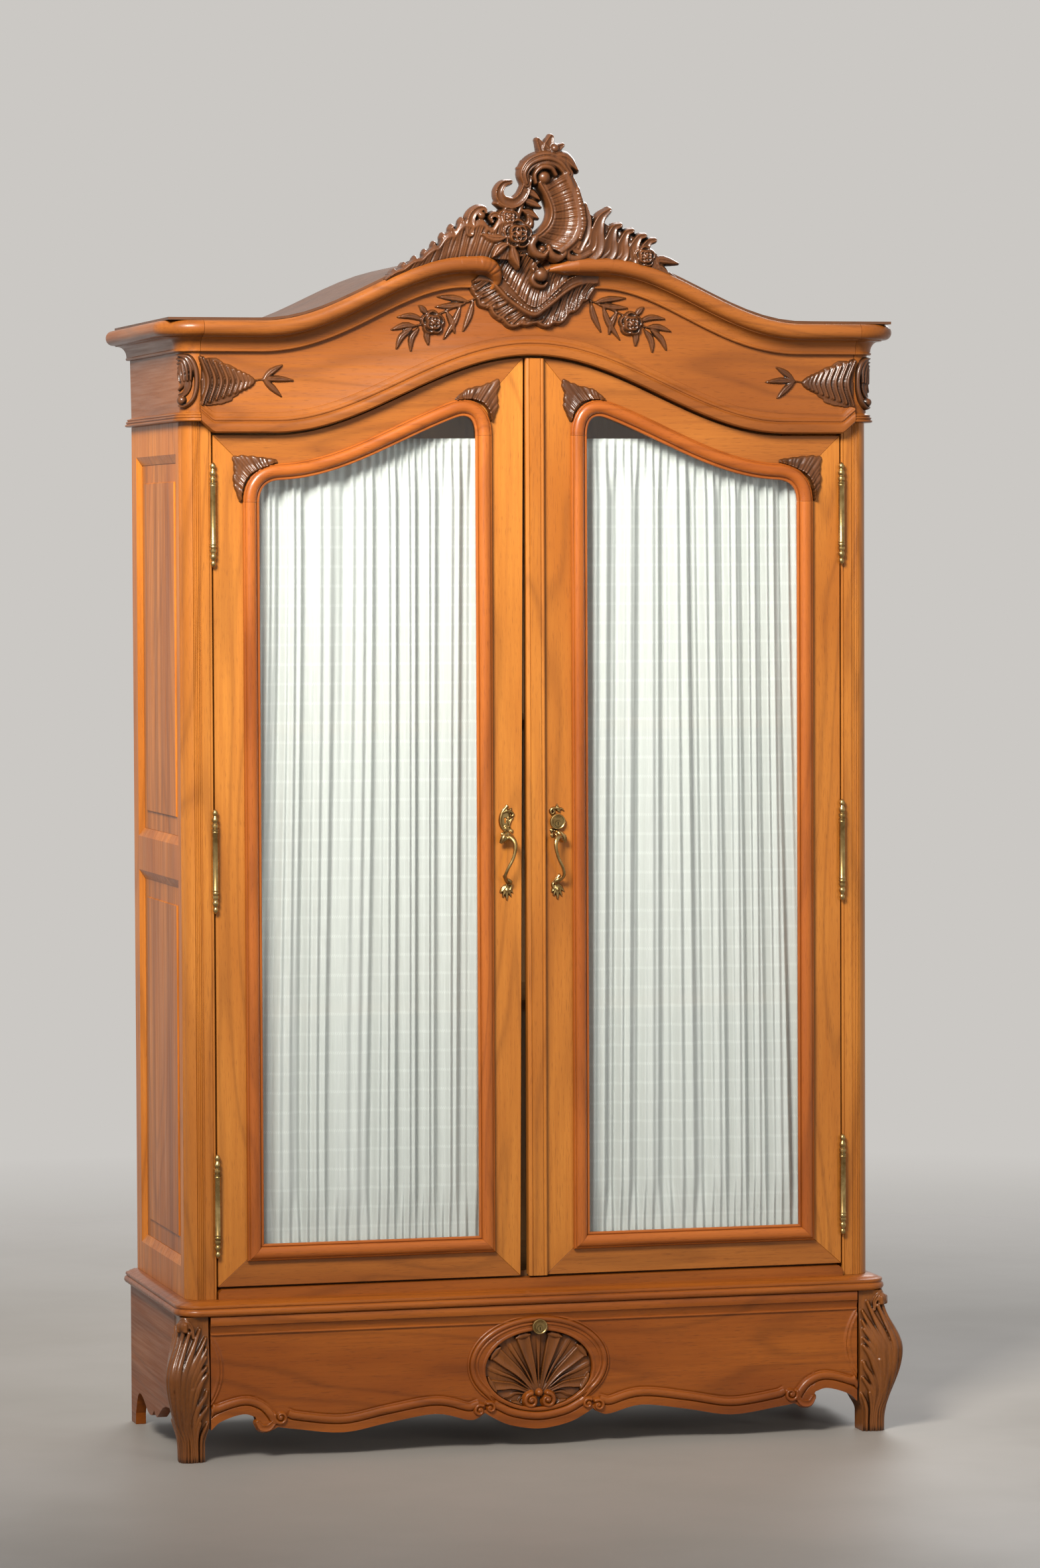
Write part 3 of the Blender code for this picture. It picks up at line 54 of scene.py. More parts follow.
PHOTO_HEIGHT = 2364
FOCAL_PIXELS = 8282.8
SENSOR_WIDTH = 36.0
SEEN_FAR = 200.0
CAMERA_PLACE = (-2.7058, -10.3553, 1.7153)
YAW, TILT, ROLL = (math.radians(a) for a in (14.81, -2.43, -0.25))
FLOOR_SIZE = 60.0
FLOOR_DROP = 0.0005
BACKDROP = (203, 200, 196)
SKY = (0.92, 0.95, 1.0)
SKY_STRENGTH = 0.34


def make_camera():
    """Camera with the view of the photograph."""
    data = bpy.data.cameras.new("camera")
    data.sensor_width = SENSOR_WIDTH
    data.lens = SENSOR_WIDTH * FOCAL_PIXELS / PHOTO_HEIGHT
    data.clip_end = SEEN_FAR
    camera = bpy.data.objects.new("camera", data)
    bpy.context.scene.collection.objects.link(camera)
    ahead = Vector((math.sin(YAW) * math.cos(TILT), math.cos(YAW) * math.cos(TILT), math.sin(TILT)))
    level = Vector((math.cos(YAW), -math.sin(YAW), 0.0))
    upright = level.cross(ahead)
    right = level * math.cos(ROLL) + upright * math.sin(ROLL)
    up = upright * math.cos(ROLL) - level * math.sin(ROLL)
    turn = Matrix((right, up, -ahead)).transposed().to_4x4()
    camera.matrix_world = Matrix.Translation(CAMERA_PLACE) @ turn
    bpy.context.scene.camera = camera


def area_light(name, place, target, size, power, colour, spread=180.0, in_mirrors=True):
    data = bpy.data.lights.new(name, "AREA")
    data.shape = "RECTANGLE"
    data.size, data.size_y = size
    data.spread = math.radians(spread)
    data.energy = power
    data.color = colour
    lamp = bpy.data.objects.new(name, data)
    bpy.context.scene.collection.objects.link(lamp)
    lamp.location = place
    lamp.visible_glossy = in_mirrors
    lamp.rotation_mode = "QUATERNION"
    lamp.rotation_quaternion = (Vector(target) - Vector(place)).to_track_quat("-Z", "Y")


def make_stage(floor_material):
    bpy.ops.mesh.primitive_plane_add(size=FLOOR_SIZE, location=(0.0, 0.0, -FLOOR_DROP))
    floor = bpy.context.active_object
    floor.name = "floor"
    floor.data.materials.append(floor_material)
    area_light("key", place=(-2.5, -3.6, 4.3), target=(-0.2, 0.0, 2.35), size=(1.6, 1.6), power=110.0,
               colour=(1.0, 0.95, 0.88), spread=66.0)
    area_light("fill", place=(2.75, -5.6, 1.5), target=(0.4, 0.0, 1.3), size=(0.9, 1.6), power=88.0,
               colour=(1.0, 0.97, 0.94), in_mirrors=False)
    area_light("back", place=(2.5, 5.0, 4.5), target=(0.0, 0.3, 1.3), size=(3.0, 3.0), power=120.0,
               colour=(1.0, 1.0, 1.0))
    bpy.context.scene.view_settings.view_transform = "Standard"


def make_world():
    """Plain backdrop for the camera, the brass and the panes, and a weaker sky that lights the scene."""
    g = Graph("studio", "worlds")
    path = g.add("LightPath").outputs
    seen = g.math("MAXIMUM", path["Is Camera Ray"], path["Is Glossy Ray"])
    seen = g.math("MAXIMUM", seen, path["Is Transmission Ray"])
    sky = g.add("Background", {"Color": (*SKY, 1.0), "Strength": SKY_STRENGTH})
    g.set(Color=(*linear(BACKDROP), 1.0))
    g.show(g.blend(seen, sky, g.shader))
    bpy.context.scene.world = g.owner


# Materials


def linear(colour):
    """Scene colour of an 0 to 255 display colour."""
    shares = [c / 255.0 for c in colour]
    return tuple(c / 12.92 if c <= 0.04045 else ((c + 0.055) / 1.055) ** 2.4 for c in shares)


class Graph:
    """Nodes of one material or world, with short calls for the kinds used here."""

    def __init__(self, name, owners="materials"):
        self.owner = getattr(bpy.data, owners).new(name)
        self.owner.use_nodes = True
        self.tree = self.owner.node_tree
        shader, kind = ("Background", "World") if owners == "worlds" else ("Principled BSDF", "Material")
        self.shader = self.tree.nodes[shader]
        self.output = self.tree.nodes[f"{kind} Output"]

    @property
    def place(self):
        """Object coordinates, from one node for the whole graph."""
        node = self.tree.nodes.get("Texture Coordinate") or self.add("TexCoord")
        return node.outputs["Object"]

    def add(self, kind, inputs=None, **settings):
        made = self.tree.nodes.new("ShaderNode" + kind)
        for key, value in settings.items():
            setattr(made, key, value)
        for key, value in (inputs or {}).items():
            self.feed(made.inputs[key], value)
        return made

    def feed(self, socket, value):
        if isinstance(value, bpy.types.NodeSocket):
            self.tree.links.new(value, socket)
        else:
            socket.default_value = value

    def set(self, **values):
        for key, value in values.items():
            self.feed(self.shader.inputs[key.replace("_", " ")], value)

    def stretched(self, scales, seed=0.0):
        """Object coordinates scaled along each axis, moved by seed."""
        move = (seed, 1.7 * seed, 2.3 * seed)
        return self.add("Mapping", {"Vector": self.place, "Scale": scales,
                                    "Location": move}).outputs["Vector"]

    def noise(self, vector, detail, distortion=0.0):
        inputs = {"Vector": vector, "Scale": 1.0, "Detail": detail, "Distortion": distortion}
        return self.add("TexNoise", inputs).outputs["Fac"]

    def math(self, operation, a, b=0.0):
        return self.add("Math", {0: a, 1: b}, operation=operation).outputs[0]

    def remap(self, value, low, high, to_low=0.0, to_high=1.0):
        inputs = {"Value": value, "From Min": low, "From Max": high, "To Min": to_low, "To Max": to_high}
        return self.add("MapRange", inputs).outputs["Result"]

    def mix(self, share, a, b):
        """Two colours mixed by a share of the second."""
        a, b = ((*c, 1.0) if isinstance(c, tuple) else c for c in (a, b))
        return self.add("Mix", data_type="RGBA", inputs={0: share, 6: a, 7: b}).outputs[2]

    def bump(self, height, strength, distance):
        inputs = {"Height": height, "Strength": strength, "Distance": distance}
        return self.add("Bump", inputs).outputs["Normal"]

    def hollows(self, distance):
        """1 on open ground, less in hollows narrower than a distance."""
        return self.add("AmbientOcclusion", {"Distance": distance}, samples=8).outputs["AO"]

    def blend(self, share, first, second):
        """Two shaders mixed by a share of the second."""
        return self.add("MixShader", {0: share, 1: first.outputs[0], 2: second.outputs[0]})

    def show(self, shader):
        self.feed(self.output.inputs["Surface"], shader.outputs[0])


WOOD_TONES = {
    "door": ((178, 113, 44), (150, 86, 27), (80, 38, 10)),
    "rail": ((154, 93, 36), (126, 68, 21), (68, 32, 9)),
    "bead": ((166, 92, 34), (136, 68, 20), (76, 32, 8)),
    "hood": ((142, 82, 30), (114, 60, 18), (60, 28, 7)),
    "base": ((147, 80, 23), (117, 57, 12), (56, 25, 5)),
    # side: made lighter than the door tone in place of more light on the armoire's sides, so part of it is
    # painted light.
    "side": ((200, 120, 44), (168, 92, 27), (92, 45, 12)),
    "carved": ((98, 57, 27), (67, 37, 17), (19, 9, 3)),
    "leg": ((128, 74, 28), (98, 54, 19), (32, 15, 5)),
    "roof": ((93, 57, 31), (72, 43, 23), (41, 23, 12)),
    "inner": ((148, 109, 68), (123, 86, 51), (86, 57, 33)),
}
RING_LINES = 62.0
RING_DARK, PORE_DARK = 0.25, 0.28


def wood(tone, grain, seed=0.0, carved=False, stripes=0.0, gloss=0.34, coat=0.20, shine=0.30):
    """Varnished walnut whose grain runs along one axis."""
    g = Graph(f"walnut_{tone}_{grain}_{int(seed * 10)}")
    light, mid, dark = (linear(c) for c in WOOD_TONES[tone])

    def grained(across, lengthwise, detail, move=0.0, distortion=0.0):
        scales = tuple(lengthwise if axis == grain else across for axis in "XYZ")
        return g.noise(g.stretched(scales, seed + move), detail, distortion)

    figure = grained(5.5, 0.75, detail=2.0, distortion=0.5)
    lines = g.math("SINE", g.math("MULTIPLY", figure, RING_LINES))
    ring = g.math("POWER", g.remap(lines, -1.0, 1.0), 5.0)
    fibre = grained(190.0, 5.0, detail=3.0)
    pores = g.remap(grained(760.0, 42.0, detail=1.0), 0.60, 0.70)
    cloud = grained(7.0, 1.6, detail=3.0, move=4.0)
    tint = g.mix(g.remap(cloud, 0.32, 0.68), light, mid)
    tint = g.mix(g.remap(fibre, 0.35, 0.75, 0.0, 0.55), tint, mid)
    tint = g.mix(g.math("MULTIPLY", ring, RING_DARK), tint, dark)
    if stripes:
        band = grained(26.0, 0.12, detail=1.0, move=2.0)
        tint = g.mix(g.remap(band, 0.40, 0.62, 0.0, stripes), tint, dark)
    tint = g.mix(g.math("MULTIPLY", pores, PORE_DARK), tint, dark)
    if carved:
        # Darker in narrow hollows: partly old polish and dust, partly painted shade in the recesses of the
        # carving.
        tint = g.mix(g.remap(g.hollows(0.014), 0.92, 0.48), tint, dark)
        # Lighter on sharp ridges: partly rubbed wear, partly a painted highlight along the carved edges.
        ridge = g.add("NewGeometry").outputs["Pointiness"]
        tint = g.mix(g.remap(ridge, 0.51, 0.60, 0.0, 0.55), tint, light)
    relief = g.math("SUBTRACT", g.math("MULTIPLY", fibre, 0.6), pores)
    g.set(Base_Color=tint, Roughness=g.remap(fibre, 0.3, 0.7, gloss - 0.06, gloss + 0.08), Coat_Weight=coat,
          Coat_Roughness=0.12, Specular_IOR_Level=shine, Normal=g.bump(relief, 0.22, 0.0004))
    return g.owner


def brass():
    """Old polished brass, darker in its hollows."""
    g = Graph("aged_brass")
    spots = g.noise(g.stretched((60.0, 60.0, 60.0)), detail=4.0)
    fine = g.noise(g.stretched((900.0, 900.0, 300.0)), detail=2.0)
    tint = g.mix(g.remap(spots, 0.35, 0.7), linear((188, 160, 106)), linear((134, 106, 62)))
    tint = g.mix(g.remap(g.hollows(0.006), 0.9, 0.35), tint, linear((52, 36, 18)))
    g.set(Base_Color=tint, Metallic=1.0, Roughness=g.remap(spots, 0.3, 0.7, 0.22, 0.40),
          Normal=g.bump(fine, 0.08, 0.0003))
    return g.owner


def glass():
    """Clear old pane: what is behind shows through, and the edges and grazing views mirror the room."""
    g = Graph("window_glass")
    ripple = g.bump(g.noise(g.stretched((9.0, 9.0, 6.0)), detail=1.0), 0.05, 0.002)
    clear = g.add("BsdfTransparent", {"Color": (0.985, 0.995, 0.99, 1.0)})
    shine = g.add("BsdfGlossy", {"Color": (1.0, 1.0, 1.0, 1.0), "Roughness": 0.02, "Normal": ripple})
    facing = g.add("LayerWeight", {"Blend": 0.5, "Normal": ripple}).outputs["Facing"]
    g.show(g.blend(g.remap(g.math("POWER", facing, 5.0), 0.0, 1.0, 0.04, 0.90), clear, shine))
    g.tree.nodes.remove(g.shader)
    return g.owner


THREADS = 4200.0
DASH_ROWS = 27.0


def voile():
    """Sheer white cloth with rows of slanted woven dashes. The cloth layer holds metres along the weave."""
    g = Graph("white_voile")
    place = g.add("UVMap", uv_map="cloth").outputs["UV"]
    split = g.add("SeparateXYZ", {"Vector": place})
    across, down = split.outputs["X"], split.outputs["Y"]
    warp, weft = (g.math("SINE", g.math("MULTIPLY", way, THREADS)) for way in (across, down))
    weave = g.math("MULTIPLY", warp, weft)
    row = g.math("ABSOLUTE", g.math("SUBTRACT", g.math("FRACT", g.math("MULTIPLY", down, DASH_ROWS)), 0.5))
    slant = g.math("SINE", g.math("ADD", g.math("MULTIPLY", across, 1500.0), g.math("MULTIPLY", down, 900.0)))
    dash = g.math("MULTIPLY", g.remap(row, 0.09, 0.06), g.remap(slant, 0.0, 0.5))
    slub = g.noise(g.add("Mapping", {"Vector": place, "Scale": (900.0, 12.0, 1.0)}).outputs["Vector"],
                   detail=3.0)
    tint = g.mix(g.remap(slub, 0.3, 0.7), linear((230, 234, 232)), linear((212, 217, 214)))
    relief = g.math("ADD", g.math("MULTIPLY", weave, 0.3), dash)
    g.set(Base_Color=tint, Roughness=g.remap(slub, 0.3, 0.7, 0.80, 0.95), Sheen_Weight=0.15,
          Normal=g.bump(relief, 0.35, 0.0004))
    through = g.add("BsdfTranslucent", {"Color": (*linear((236, 238, 234)), 1.0)})
    gaps = g.math("MULTIPLY", g.remap(weave, -1.0, 1.0, 0.10, 0.30), g.remap(dash, 0.0, 1.0, 1.0, 0.3))
    g.show(g.blend(gaps, g.blend(0.22, g.shader, through), g.add("BsdfTransparent")))
    return g.owner


FLOOR_FADE = (1.6, 5.0)


def floor_surface():
    """Pale studio floor that fades into the backdrop a few metres from the armoire."""
    g = Graph("studio_floor")
    cloud = g.noise(g.stretched((1.3, 1.3, 1.3)), detail=5.0)
    grit = g.noise(g.stretched((160.0, 160.0, 160.0)), detail=2.0)
    tint = g.mix(g.remap(cloud, 0.3, 0.7), linear((158, 153, 147)), linear((146, 141, 134)))
    g.set(Base_Color=tint, Roughness=g.remap(cloud, 0.3, 0.7, 0.42, 0.55), Normal=g.bump(grit, 0.06, 0.001))
    away = g.add("VectorMath", {0: g.place}, operation="LENGTH").outputs["Value"]
    g.show(g.blend(g.remap(away, *FLOOR_FADE), g.shader, g.add("BsdfTransparent")))
    return g.owner


# Shapes


def smooth(points, steps=8):
    """Curve through the points, as an array with steps points for each span."""
    p = np.array(points, float)
    ends = np.vstack([2 * p[0] - p[1], p, 2 * p[-1] - p[-2]])
    t = np.linspace(0.0, 1.0, steps, endpoint=False)[:, None]
    spans = []
    for a, b, c, d in zip(ends, ends[1:], ends[2:], ends[3:]):
        spans.append(b + 0.5 * t * (c - a + t * (2 * a - 5 * b + 4 * c - d + t * (3 * (b - c) + d - a))))
    return np.vstack([*spans, p[-1:]])


def resampled(line, count):
    """The same line with count evenly spaced points."""
    run = np.concatenate(([0.0], np.cumsum(np.linalg.norm(np.diff(line, axis=0), axis=1))))
    at = np.linspace(0.0, run[-1], count)
    return np.stack([np.interp(at, run, line[:, k]) for k in range(line.shape[1])], axis=1)


def ramp(share, values):
    """Values spread evenly along a line, at some shares of it."""
    values = np.atleast_1d(values)
    return np.interp(share, np.linspace(0.0, 1.0, len(values)), values) if len(values) > 1 else values[0]


def along(line, x, z):
    """Share along a line and signed distance from it, for each point."""
    best = np.full(x.shape, 1e9)
    share = np.zeros(x.shape)
    side = np.zeros(x.shape)
    steps = np.diff(line, axis=0)
    lengths = np.hypot(steps[:, 0], steps[:, 1])
    done = np.concatenate(([0.0], np.cumsum(lengths)))
    for (sx, sz), (dx, dz), length, begun in zip(line, steps, lengths, done):
        t = np.clip(((x - sx) * dx + (z - sz) * dz) / length**2, 0.0, 1.0)
        ex, ez = x - sx - t * dx, z - sz - t * dz
        away = np.hypot(ex, ez)
        nearer = away < best
        best = np.where(nearer, away, best)
        share = np.where(nearer, (begun + t * length) / done[-1], share)
        side = np.where(nearer, np.sign(dx * ez - dz * ex), side)
    return share, side * best


def waves(share, count):
    """Uneven row of count round ribs: 1 in the grooves between them and 0 on their backs."""
    phase = count * share + 0.26 * np.sin(1.9 * count * share)
    return 1.0 - np.abs(np.sin(np.pi * phase))


def ease(share):
    """Share with a slow start and a slow end."""
    t = np.clip(share, 0.0, 1.0)
    return t * t * (3.0 - 2.0 * t)


def swell(share):
    """Half a cosine wave from 0 to 1."""
    return 0.5 - 0.5 * math.cos(math.pi * min(1.0, max(0.0, share)))


def round_form(u):
    return np.sqrt(np.clip(1.0 - u * u, 0.0, 1.0))


def leaf_form(u):
    """Blade with a groove along its middle."""
    a = np.abs(u)
    return (1.0 - a**2.4) * (0.55 + 0.45 * np.minimum(1.0, a / 0.25))


def hollow_form(u):
    """Channel between two raised rims."""
    a = np.clip(np.abs(u), 0.0, 1.0)
    return np.sqrt(np.clip((1.0 - a) * 5.0, 0.0, 1.0)) * (0.40 + 0.60 * a * a)


def fluted_form(u):
    """Round back with two grooves along it."""
    return round_form(u) * (1.0 - 0.28 * np.exp(-(((np.abs(u) - 0.38) / 0.13) ** 2)))


class Relief:
    """Carving as heights in mm on a grid of x and z in mm. Every stroke keeps the higher surface."""

    SUNK = -3.0
    WALL = 3.0
    MARGIN = 5.0
    LEAST = -1.0
    FOOT = -1.5
    RIB_FADE = 0.08

    def __init__(self, low, high, step):
        self.step = step
        self.xs = np.arange(low[0], high[0] + step, step)
        self.zs = np.arange(low[1], high[1] + step, step)
        self.height = np.full((len(self.zs), len(self.xs)), self.SUNK)

    def near(self, points, reach):
        """Part of the grid round some points, with its coordinates."""
        margin = reach + self.MARGIN
        low, high = points.min(0) - margin, points.max(0) + margin
        rows = slice(*np.searchsorted(self.zs, (low[1], high[1])))
        columns = slice(*np.searchsorted(self.xs, (low[0], high[0])))
        x, z = np.meshgrid(self.xs[columns], self.zs[rows])
        return (rows, columns), x, z

    def round_part(self, centre, radius):
        """Part of the grid round one point, with distances from it."""
        part, x, z = self.near(np.array([centre], float), radius)
        return part, np.hypot(x - centre[0], z - centre[1])

    def raise_to(self, part, height):
        self.height[part] = np.maximum(self.height[part], height)

    def stroke(self, points, width, height, form=round_form, base=0.0, ribs=0, depth=0.3):
        """Carved limb along a curve, with half widths, heights and bases spread along it."""
        line = smooth(points)
        part, x, z = self.near(line, np.max(width))
        share, away = along(line, x, z)
        half = ramp(share, width)
        u = away / half
        foot = ramp(share, base)
        crown = ramp(share, height) * form(u)
        if ribs:
            crown = crown * (1.0 - depth * waves(share, ribs))
        outside = foot - self.WALL * (np.abs(u) - 1.0) * half
        self.raise_to(part, np.where(np.abs(u) < 1.0, foot + crown, outside))

    def ball(self, centre, radius, base=0.0):
        part, away = self.round_part(centre, radius)
        dome = np.sqrt(np.clip(radius**2 - away**2, 0.0, None))
        self.raise_to(part, np.where(away < radius, base + dome, base - self.WALL * (away - radius)))

    def cup(self, centre, radius, base, rise):
        """Round petal with a raised rim."""
        part, away = self.round_part(centre, radius)
        away = away / radius
        rim = base + rise - self.WALL * (away - 1.0) * radius
        self.raise_to(part, np.where(away < 1.0, base + rise * away**2.5, rim))

    def band(self, inner, outer, profile, ribs=0, depth=0.3, lean=0.0, ribbed=(-1.0, 2.0), scallops=0,
             scallop=0.0):
        """Surface between two curves. The profile is its height from the inner to the outer one, cut by ribs
        over a share of its width, and the outer edge has scallops."""
        inner, outer = smooth(inner), smooth(outer)
        reach = max(np.hypot(*np.diff(line, axis=0).T).sum() for line in (inner, outer))
        gap = np.hypot(*(resampled(outer, 40) - resampled(inner, 40)).T).max()
        count, deep = (int(3.0 * size / self.step) for size in (reach, gap))
        a, b = (resampled(line, count)[:, None] for line in (inner, outer))
        u = np.linspace(0.0, 1.0, count)[:, None]
        v = np.linspace(0.0, 1.0, deep)[None, :]
        cut = 1.0 - scallop * (1.0 - np.abs(np.sin(np.pi * scallops * u))) if scallops else np.ones_like(u)
        point = a + (b - a) * (v * cut)[..., None]
        height = ramp(v, profile) * np.ones_like(u)
        if ribs:
            inside, before = (np.clip(d / self.RIB_FADE, 0.0, 1.0) for d in (v - ribbed[0], ribbed[1] - v))
            height = height * (1.0 - depth * inside * before * waves(u + lean * v, ribs))
        i = np.clip(np.rint((point[..., 1] - self.zs[0]) / self.step).astype(int), 0, len(self.zs) - 1)
        j = np.clip(np.rint((point[..., 0] - self.xs[0]) / self.step).astype(int), 0, len(self.xs) - 1)
        np.maximum.at(self.height, (i, j), height)

    def rose(self, centre, radius, base):
        """Open rose: two rings of cupped petals round a bud."""
        for count, place, size, lift, turn in ((5, 0.56, 0.52, 0.0, 0.3), (4, 0.27, 0.40, 0.30, 0.8)):
            for k in range(count):
                a = turn + 2.0 * math.pi * k / count
                middle = (centre[0] + place * radius * math.cos(a), centre[1] + place * radius * math.sin(a))
                self.cup(middle, size * radius, base + lift * radius, 0.34 * radius)
        self.ball(centre, 0.26 * radius, base + 0.45 * radius)

    def leaf(self, points, width, height, base=0.0):
        """Slender leaf with a middle groove, pointed at both ends."""
        widths = (0.2 * width, 0.85 * width, width, 0.7 * width, 0.15 * width)
        self.stroke(points, widths, height, leaf_form, base)

    def leaves(self, lines, width, height, base=0.0):
        for line in lines:
            self.leaf(line, width, height, base)

    def volute(self, centre, radius, turns, start, way, width, height, base=0.0):
        """Spiral roll that winds inwards to a button."""
        points = []
        count = int(10 * turns) + 2
        for k in range(count):
            share = k / (count - 1)
            r = radius * (1.0 - 0.80 * share)
            a = start + way * 2.0 * math.pi * turns * share
            points.append((centre[0] + r * math.cos(a), centre[1] + r * math.sin(a)))
        self.stroke(points, (width, 0.55 * width), height, base=base)
        self.ball(centre, 0.30 * radius, base + 0.3 * height)

    def curls(self, points, count, size, height, base=0.0, way=1.0):
        """Row of small flame curls along a curve."""
        line = resampled(smooth(points), 4 * count + 1)
        for k in range(count):
            here, after = line[4 * k + 2], line[4 * k + 4]
            ahead = way * (after - here) / np.linalg.norm(after - here)
            out = np.array((-ahead[1], ahead[0])) * way
            path = [here - 1.2 * size * out - 0.3 * size * ahead, here, here + 0.5 * size * (ahead + out)]
            foot = ramp(k / max(1, count - 1), base)
            self.stroke(path, (0.5 * size, 0.6 * size, 0.2 * size), height, hollow_form, foot)

    def soften(self):
        """Blur the heights over one cell each way."""
        for axis in (0, 1):
            h = self.height
            padded = np.pad(h, [(1, 1) if k == axis else (0, 0) for k in (0, 1)], mode="edge")
            before = np.take(padded, range(0, h.shape[axis]), axis)
            after = np.take(padded, range(2, h.shape[axis] + 2), axis)
            self.height = 0.25 * before + 0.5 * h + 0.25 * after

    def at(self, x, z):
        """Height at any point, in mm."""
        fi = np.clip((z - self.zs[0]) / self.step, 0, len(self.zs) - 1.001)
        fj = np.clip((x - self.xs[0]) / self.step, 0, len(self.xs) - 1.001)
        i, j = fi.astype(int), fj.astype(int)
        di, dj = fi - i, fj - j
        h = self.height
        low = h[i, j] * (1 - dj) + h[i, j + 1] * dj
        high = h[i + 1, j] * (1 - dj) + h[i + 1, j + 1] * dj
        return low * (1 - di) + high * di

    def solid(self, back, edge=None):
        """Closed mesh in mm: x, z and how far each point stands out. With edge, the carving stands free and
        its outline is drawn in to where the height is zero."""
        h = self.height
        kept = h > (self.LEAST if edge is None else 0.0)
        cells = kept[:-1, :-1] | kept[1:, :-1] | kept[:-1, 1:] | kept[1:, 1:]
        used = np.zeros_like(kept)
        for di in (0, 1):
            for dj in (0, 1):
                used[di:used.shape[0] - 1 + di, dj:used.shape[1] - 1 + dj] |= cells
        x, z = np.meshgrid(self.xs, self.zs)
        front = np.maximum(h, self.FOOT)
        if edge is not None:
            gz, gx = np.gradient(h, self.step)
            outer = used & ~kept
            pull = np.where(outer, -h / np.maximum(gx**2 + gz**2, 0.3), 0.0)
            shift = np.clip(np.stack([pull * gx, pull * gz]), -self.step, self.step)
            x, z = x + shift[0], z + shift[1]
            front = edge + np.maximum(h, 0.0)
        rear = -back(x, z, np.maximum(h, 0.0)) if callable(back) else np.full_like(h, -back)
        number = np.full(h.shape, -1)
        count = int(used.sum())
        number[used] = np.arange(count)
        points = np.stack([np.tile(x[used], 2), np.tile(z[used], 2),
                           np.concatenate([front[used], rear[used]])], 1)
        a, b = number[:-1, :-1], number[:-1, 1:]
        c, d = number[1:, 1:], number[1:, :-1]
        faces = [np.stack([a[cells], b[cells], c[cells], d[cells]], 1)]
        faces.append(faces[0][:, ::-1] + count)
        wide = np.pad(cells, 1)
        for (di, dj), (p, q) in (((-1, 0), (a, b)), ((0, 1), (b, c)), ((1, 0), (c, d)), ((0, -1), (d, a))):
            beside = wide[1 + di:wide.shape[0] - 1 + di, 1 + dj:wide.shape[1] - 1 + dj]
            rim = cells & ~beside
            faces.append(np.stack([q[rim], p[rim], p[rim] + count, q[rim] + count], 1))
        return points, np.vstack(faces)


def piece(name, points, faces, material, body, stands_for=(), slot=None, sharp=50.0, uv=None, outwards=False):
    """New object from points in the row frame that rides on a body and may stand for CAD nodes."""
    mesh = bpy.data.meshes.new(name)
    mesh.from_pydata([tuple(p) for p in points], [], [tuple(int(k) for k in f) for f in faces])
    if outwards:
        work = bmesh.new()
        work.from_mesh(mesh)
        bmesh.ops.recalc_face_normals(work, faces=work.faces)
        work.to_mesh(mesh)
        work.free()
    mesh.materials.append(material)
    mesh.shade_smooth()
    if sharp:
        mesh.set_sharp_from_angle(angle=math.radians(sharp))
    made = bpy.data.objects.new(name, mesh)
    bpy.context.scene.collection.objects.link(made)
    if uv is not None:
        layer = mesh.uv_layers.new(name="cloth")
        corners = np.zeros(len(mesh.loops), int)
        mesh.loops.foreach_get("vertex_index", corners)
        layer.data.foreach_set("uv", np.asarray(uv, np.float32)[corners].ravel())
    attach(made, body)
    if stands_for:
        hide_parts(*stands_for)
    return made


def on_plane(points, depth):
    """Row frame points of a relief that lies on an upright plane at a depth behind the door faces."""
    return np.stack([points[:, 0] * MM, FACE_Y + depth - points[:, 2] * MM, points[:, 1] * MM], axis=1)


def mirrored(points, faces, side):
    """The same closed mesh on one side of the armoire."""
    if side > 0:
        return points, faces
    return points * (-1.0, 1.0, 1.0), [f[::-1] for f in faces]


def carving(name, relief, depth, material, body, stands_for=(), slot="carved_walnut", side=1, back=1.5,
            edge=None, **look):
    """Piece carved on an upright plane at a depth behind the door faces."""
    relief.soften()
    points, faces = mirrored(*relief.solid(back, edge), side)
    piece(name, on_plane(points, depth), faces, material, body, stands_for, slot, **look)


def loft(rings, loop=False):
    """Closed mesh through rings of equally many points, with depths behind the door faces. A loop joins its
    last ring to its first."""
    grid = np.array(rings, float)
    grid[..., 1] += FACE_Y
    levels, count = grid.shape[:2]
    last = (levels - 1) * count
    faces = [list(f) for f in grid_faces(levels, count, closed=True)]
    if loop:
        faces += [[last + k, last + (k + 1) % count, (k + 1) % count, k] for k in range(count)]
    else:
        faces += [list(range(count))[::-1], [last + k for k in range(count)]]
    return grid.reshape(-1, 3), faces


def lofted(name, rings, material, body, stands_for, side=1, slot="walnut", sharp=38.0, loop=False):
    """Piece made of a loft, on one side of the armoire."""
    points, faces = mirrored(*loft(rings, loop), side)
    piece(name, points, faces, material, body, stands_for, slot, sharp, outwards=True)


def grid_faces(rows, columns, flip=False, closed=False):
    """Quads between the points of a grid, row by row. A closed grid joins its last column to its first."""
    number = np.arange(rows * columns).reshape(rows, columns)
    if closed:
        number = np.hstack([number, number[:, :1]])
    a, b = number[:-1, :-1].ravel(), number[:-1, 1:].ravel()
    c, d = number[1:, 1:].ravel(), number[1:, :-1].ravel()
    quads = np.stack([a, b, c, d], axis=1)
    return quads[:, ::-1] if flip else quads


def closed_sheet(front, back):
    """Closed mesh between two grids of one size. The front one is seen with rows up and columns right."""
    rows, columns = front.shape[:2]
    count = rows * columns
    quads = grid_faces(rows, columns)
    number = np.arange(count).reshape(rows, columns)
    rim = np.concatenate([number[0, :-1], number[:-1, -1], number[-1, :0:-1], number[:0:-1, 0]])
    after = np.roll(rim, -1)
    walls = np.stack([after, rim, rim + count, after + count], axis=1)
    points = np.vstack([front.reshape(-1, 3), back.reshape(-1, 3)])
    return points, np.vstack([quads, quads[:, ::-1] + count, walls])


# Curtains

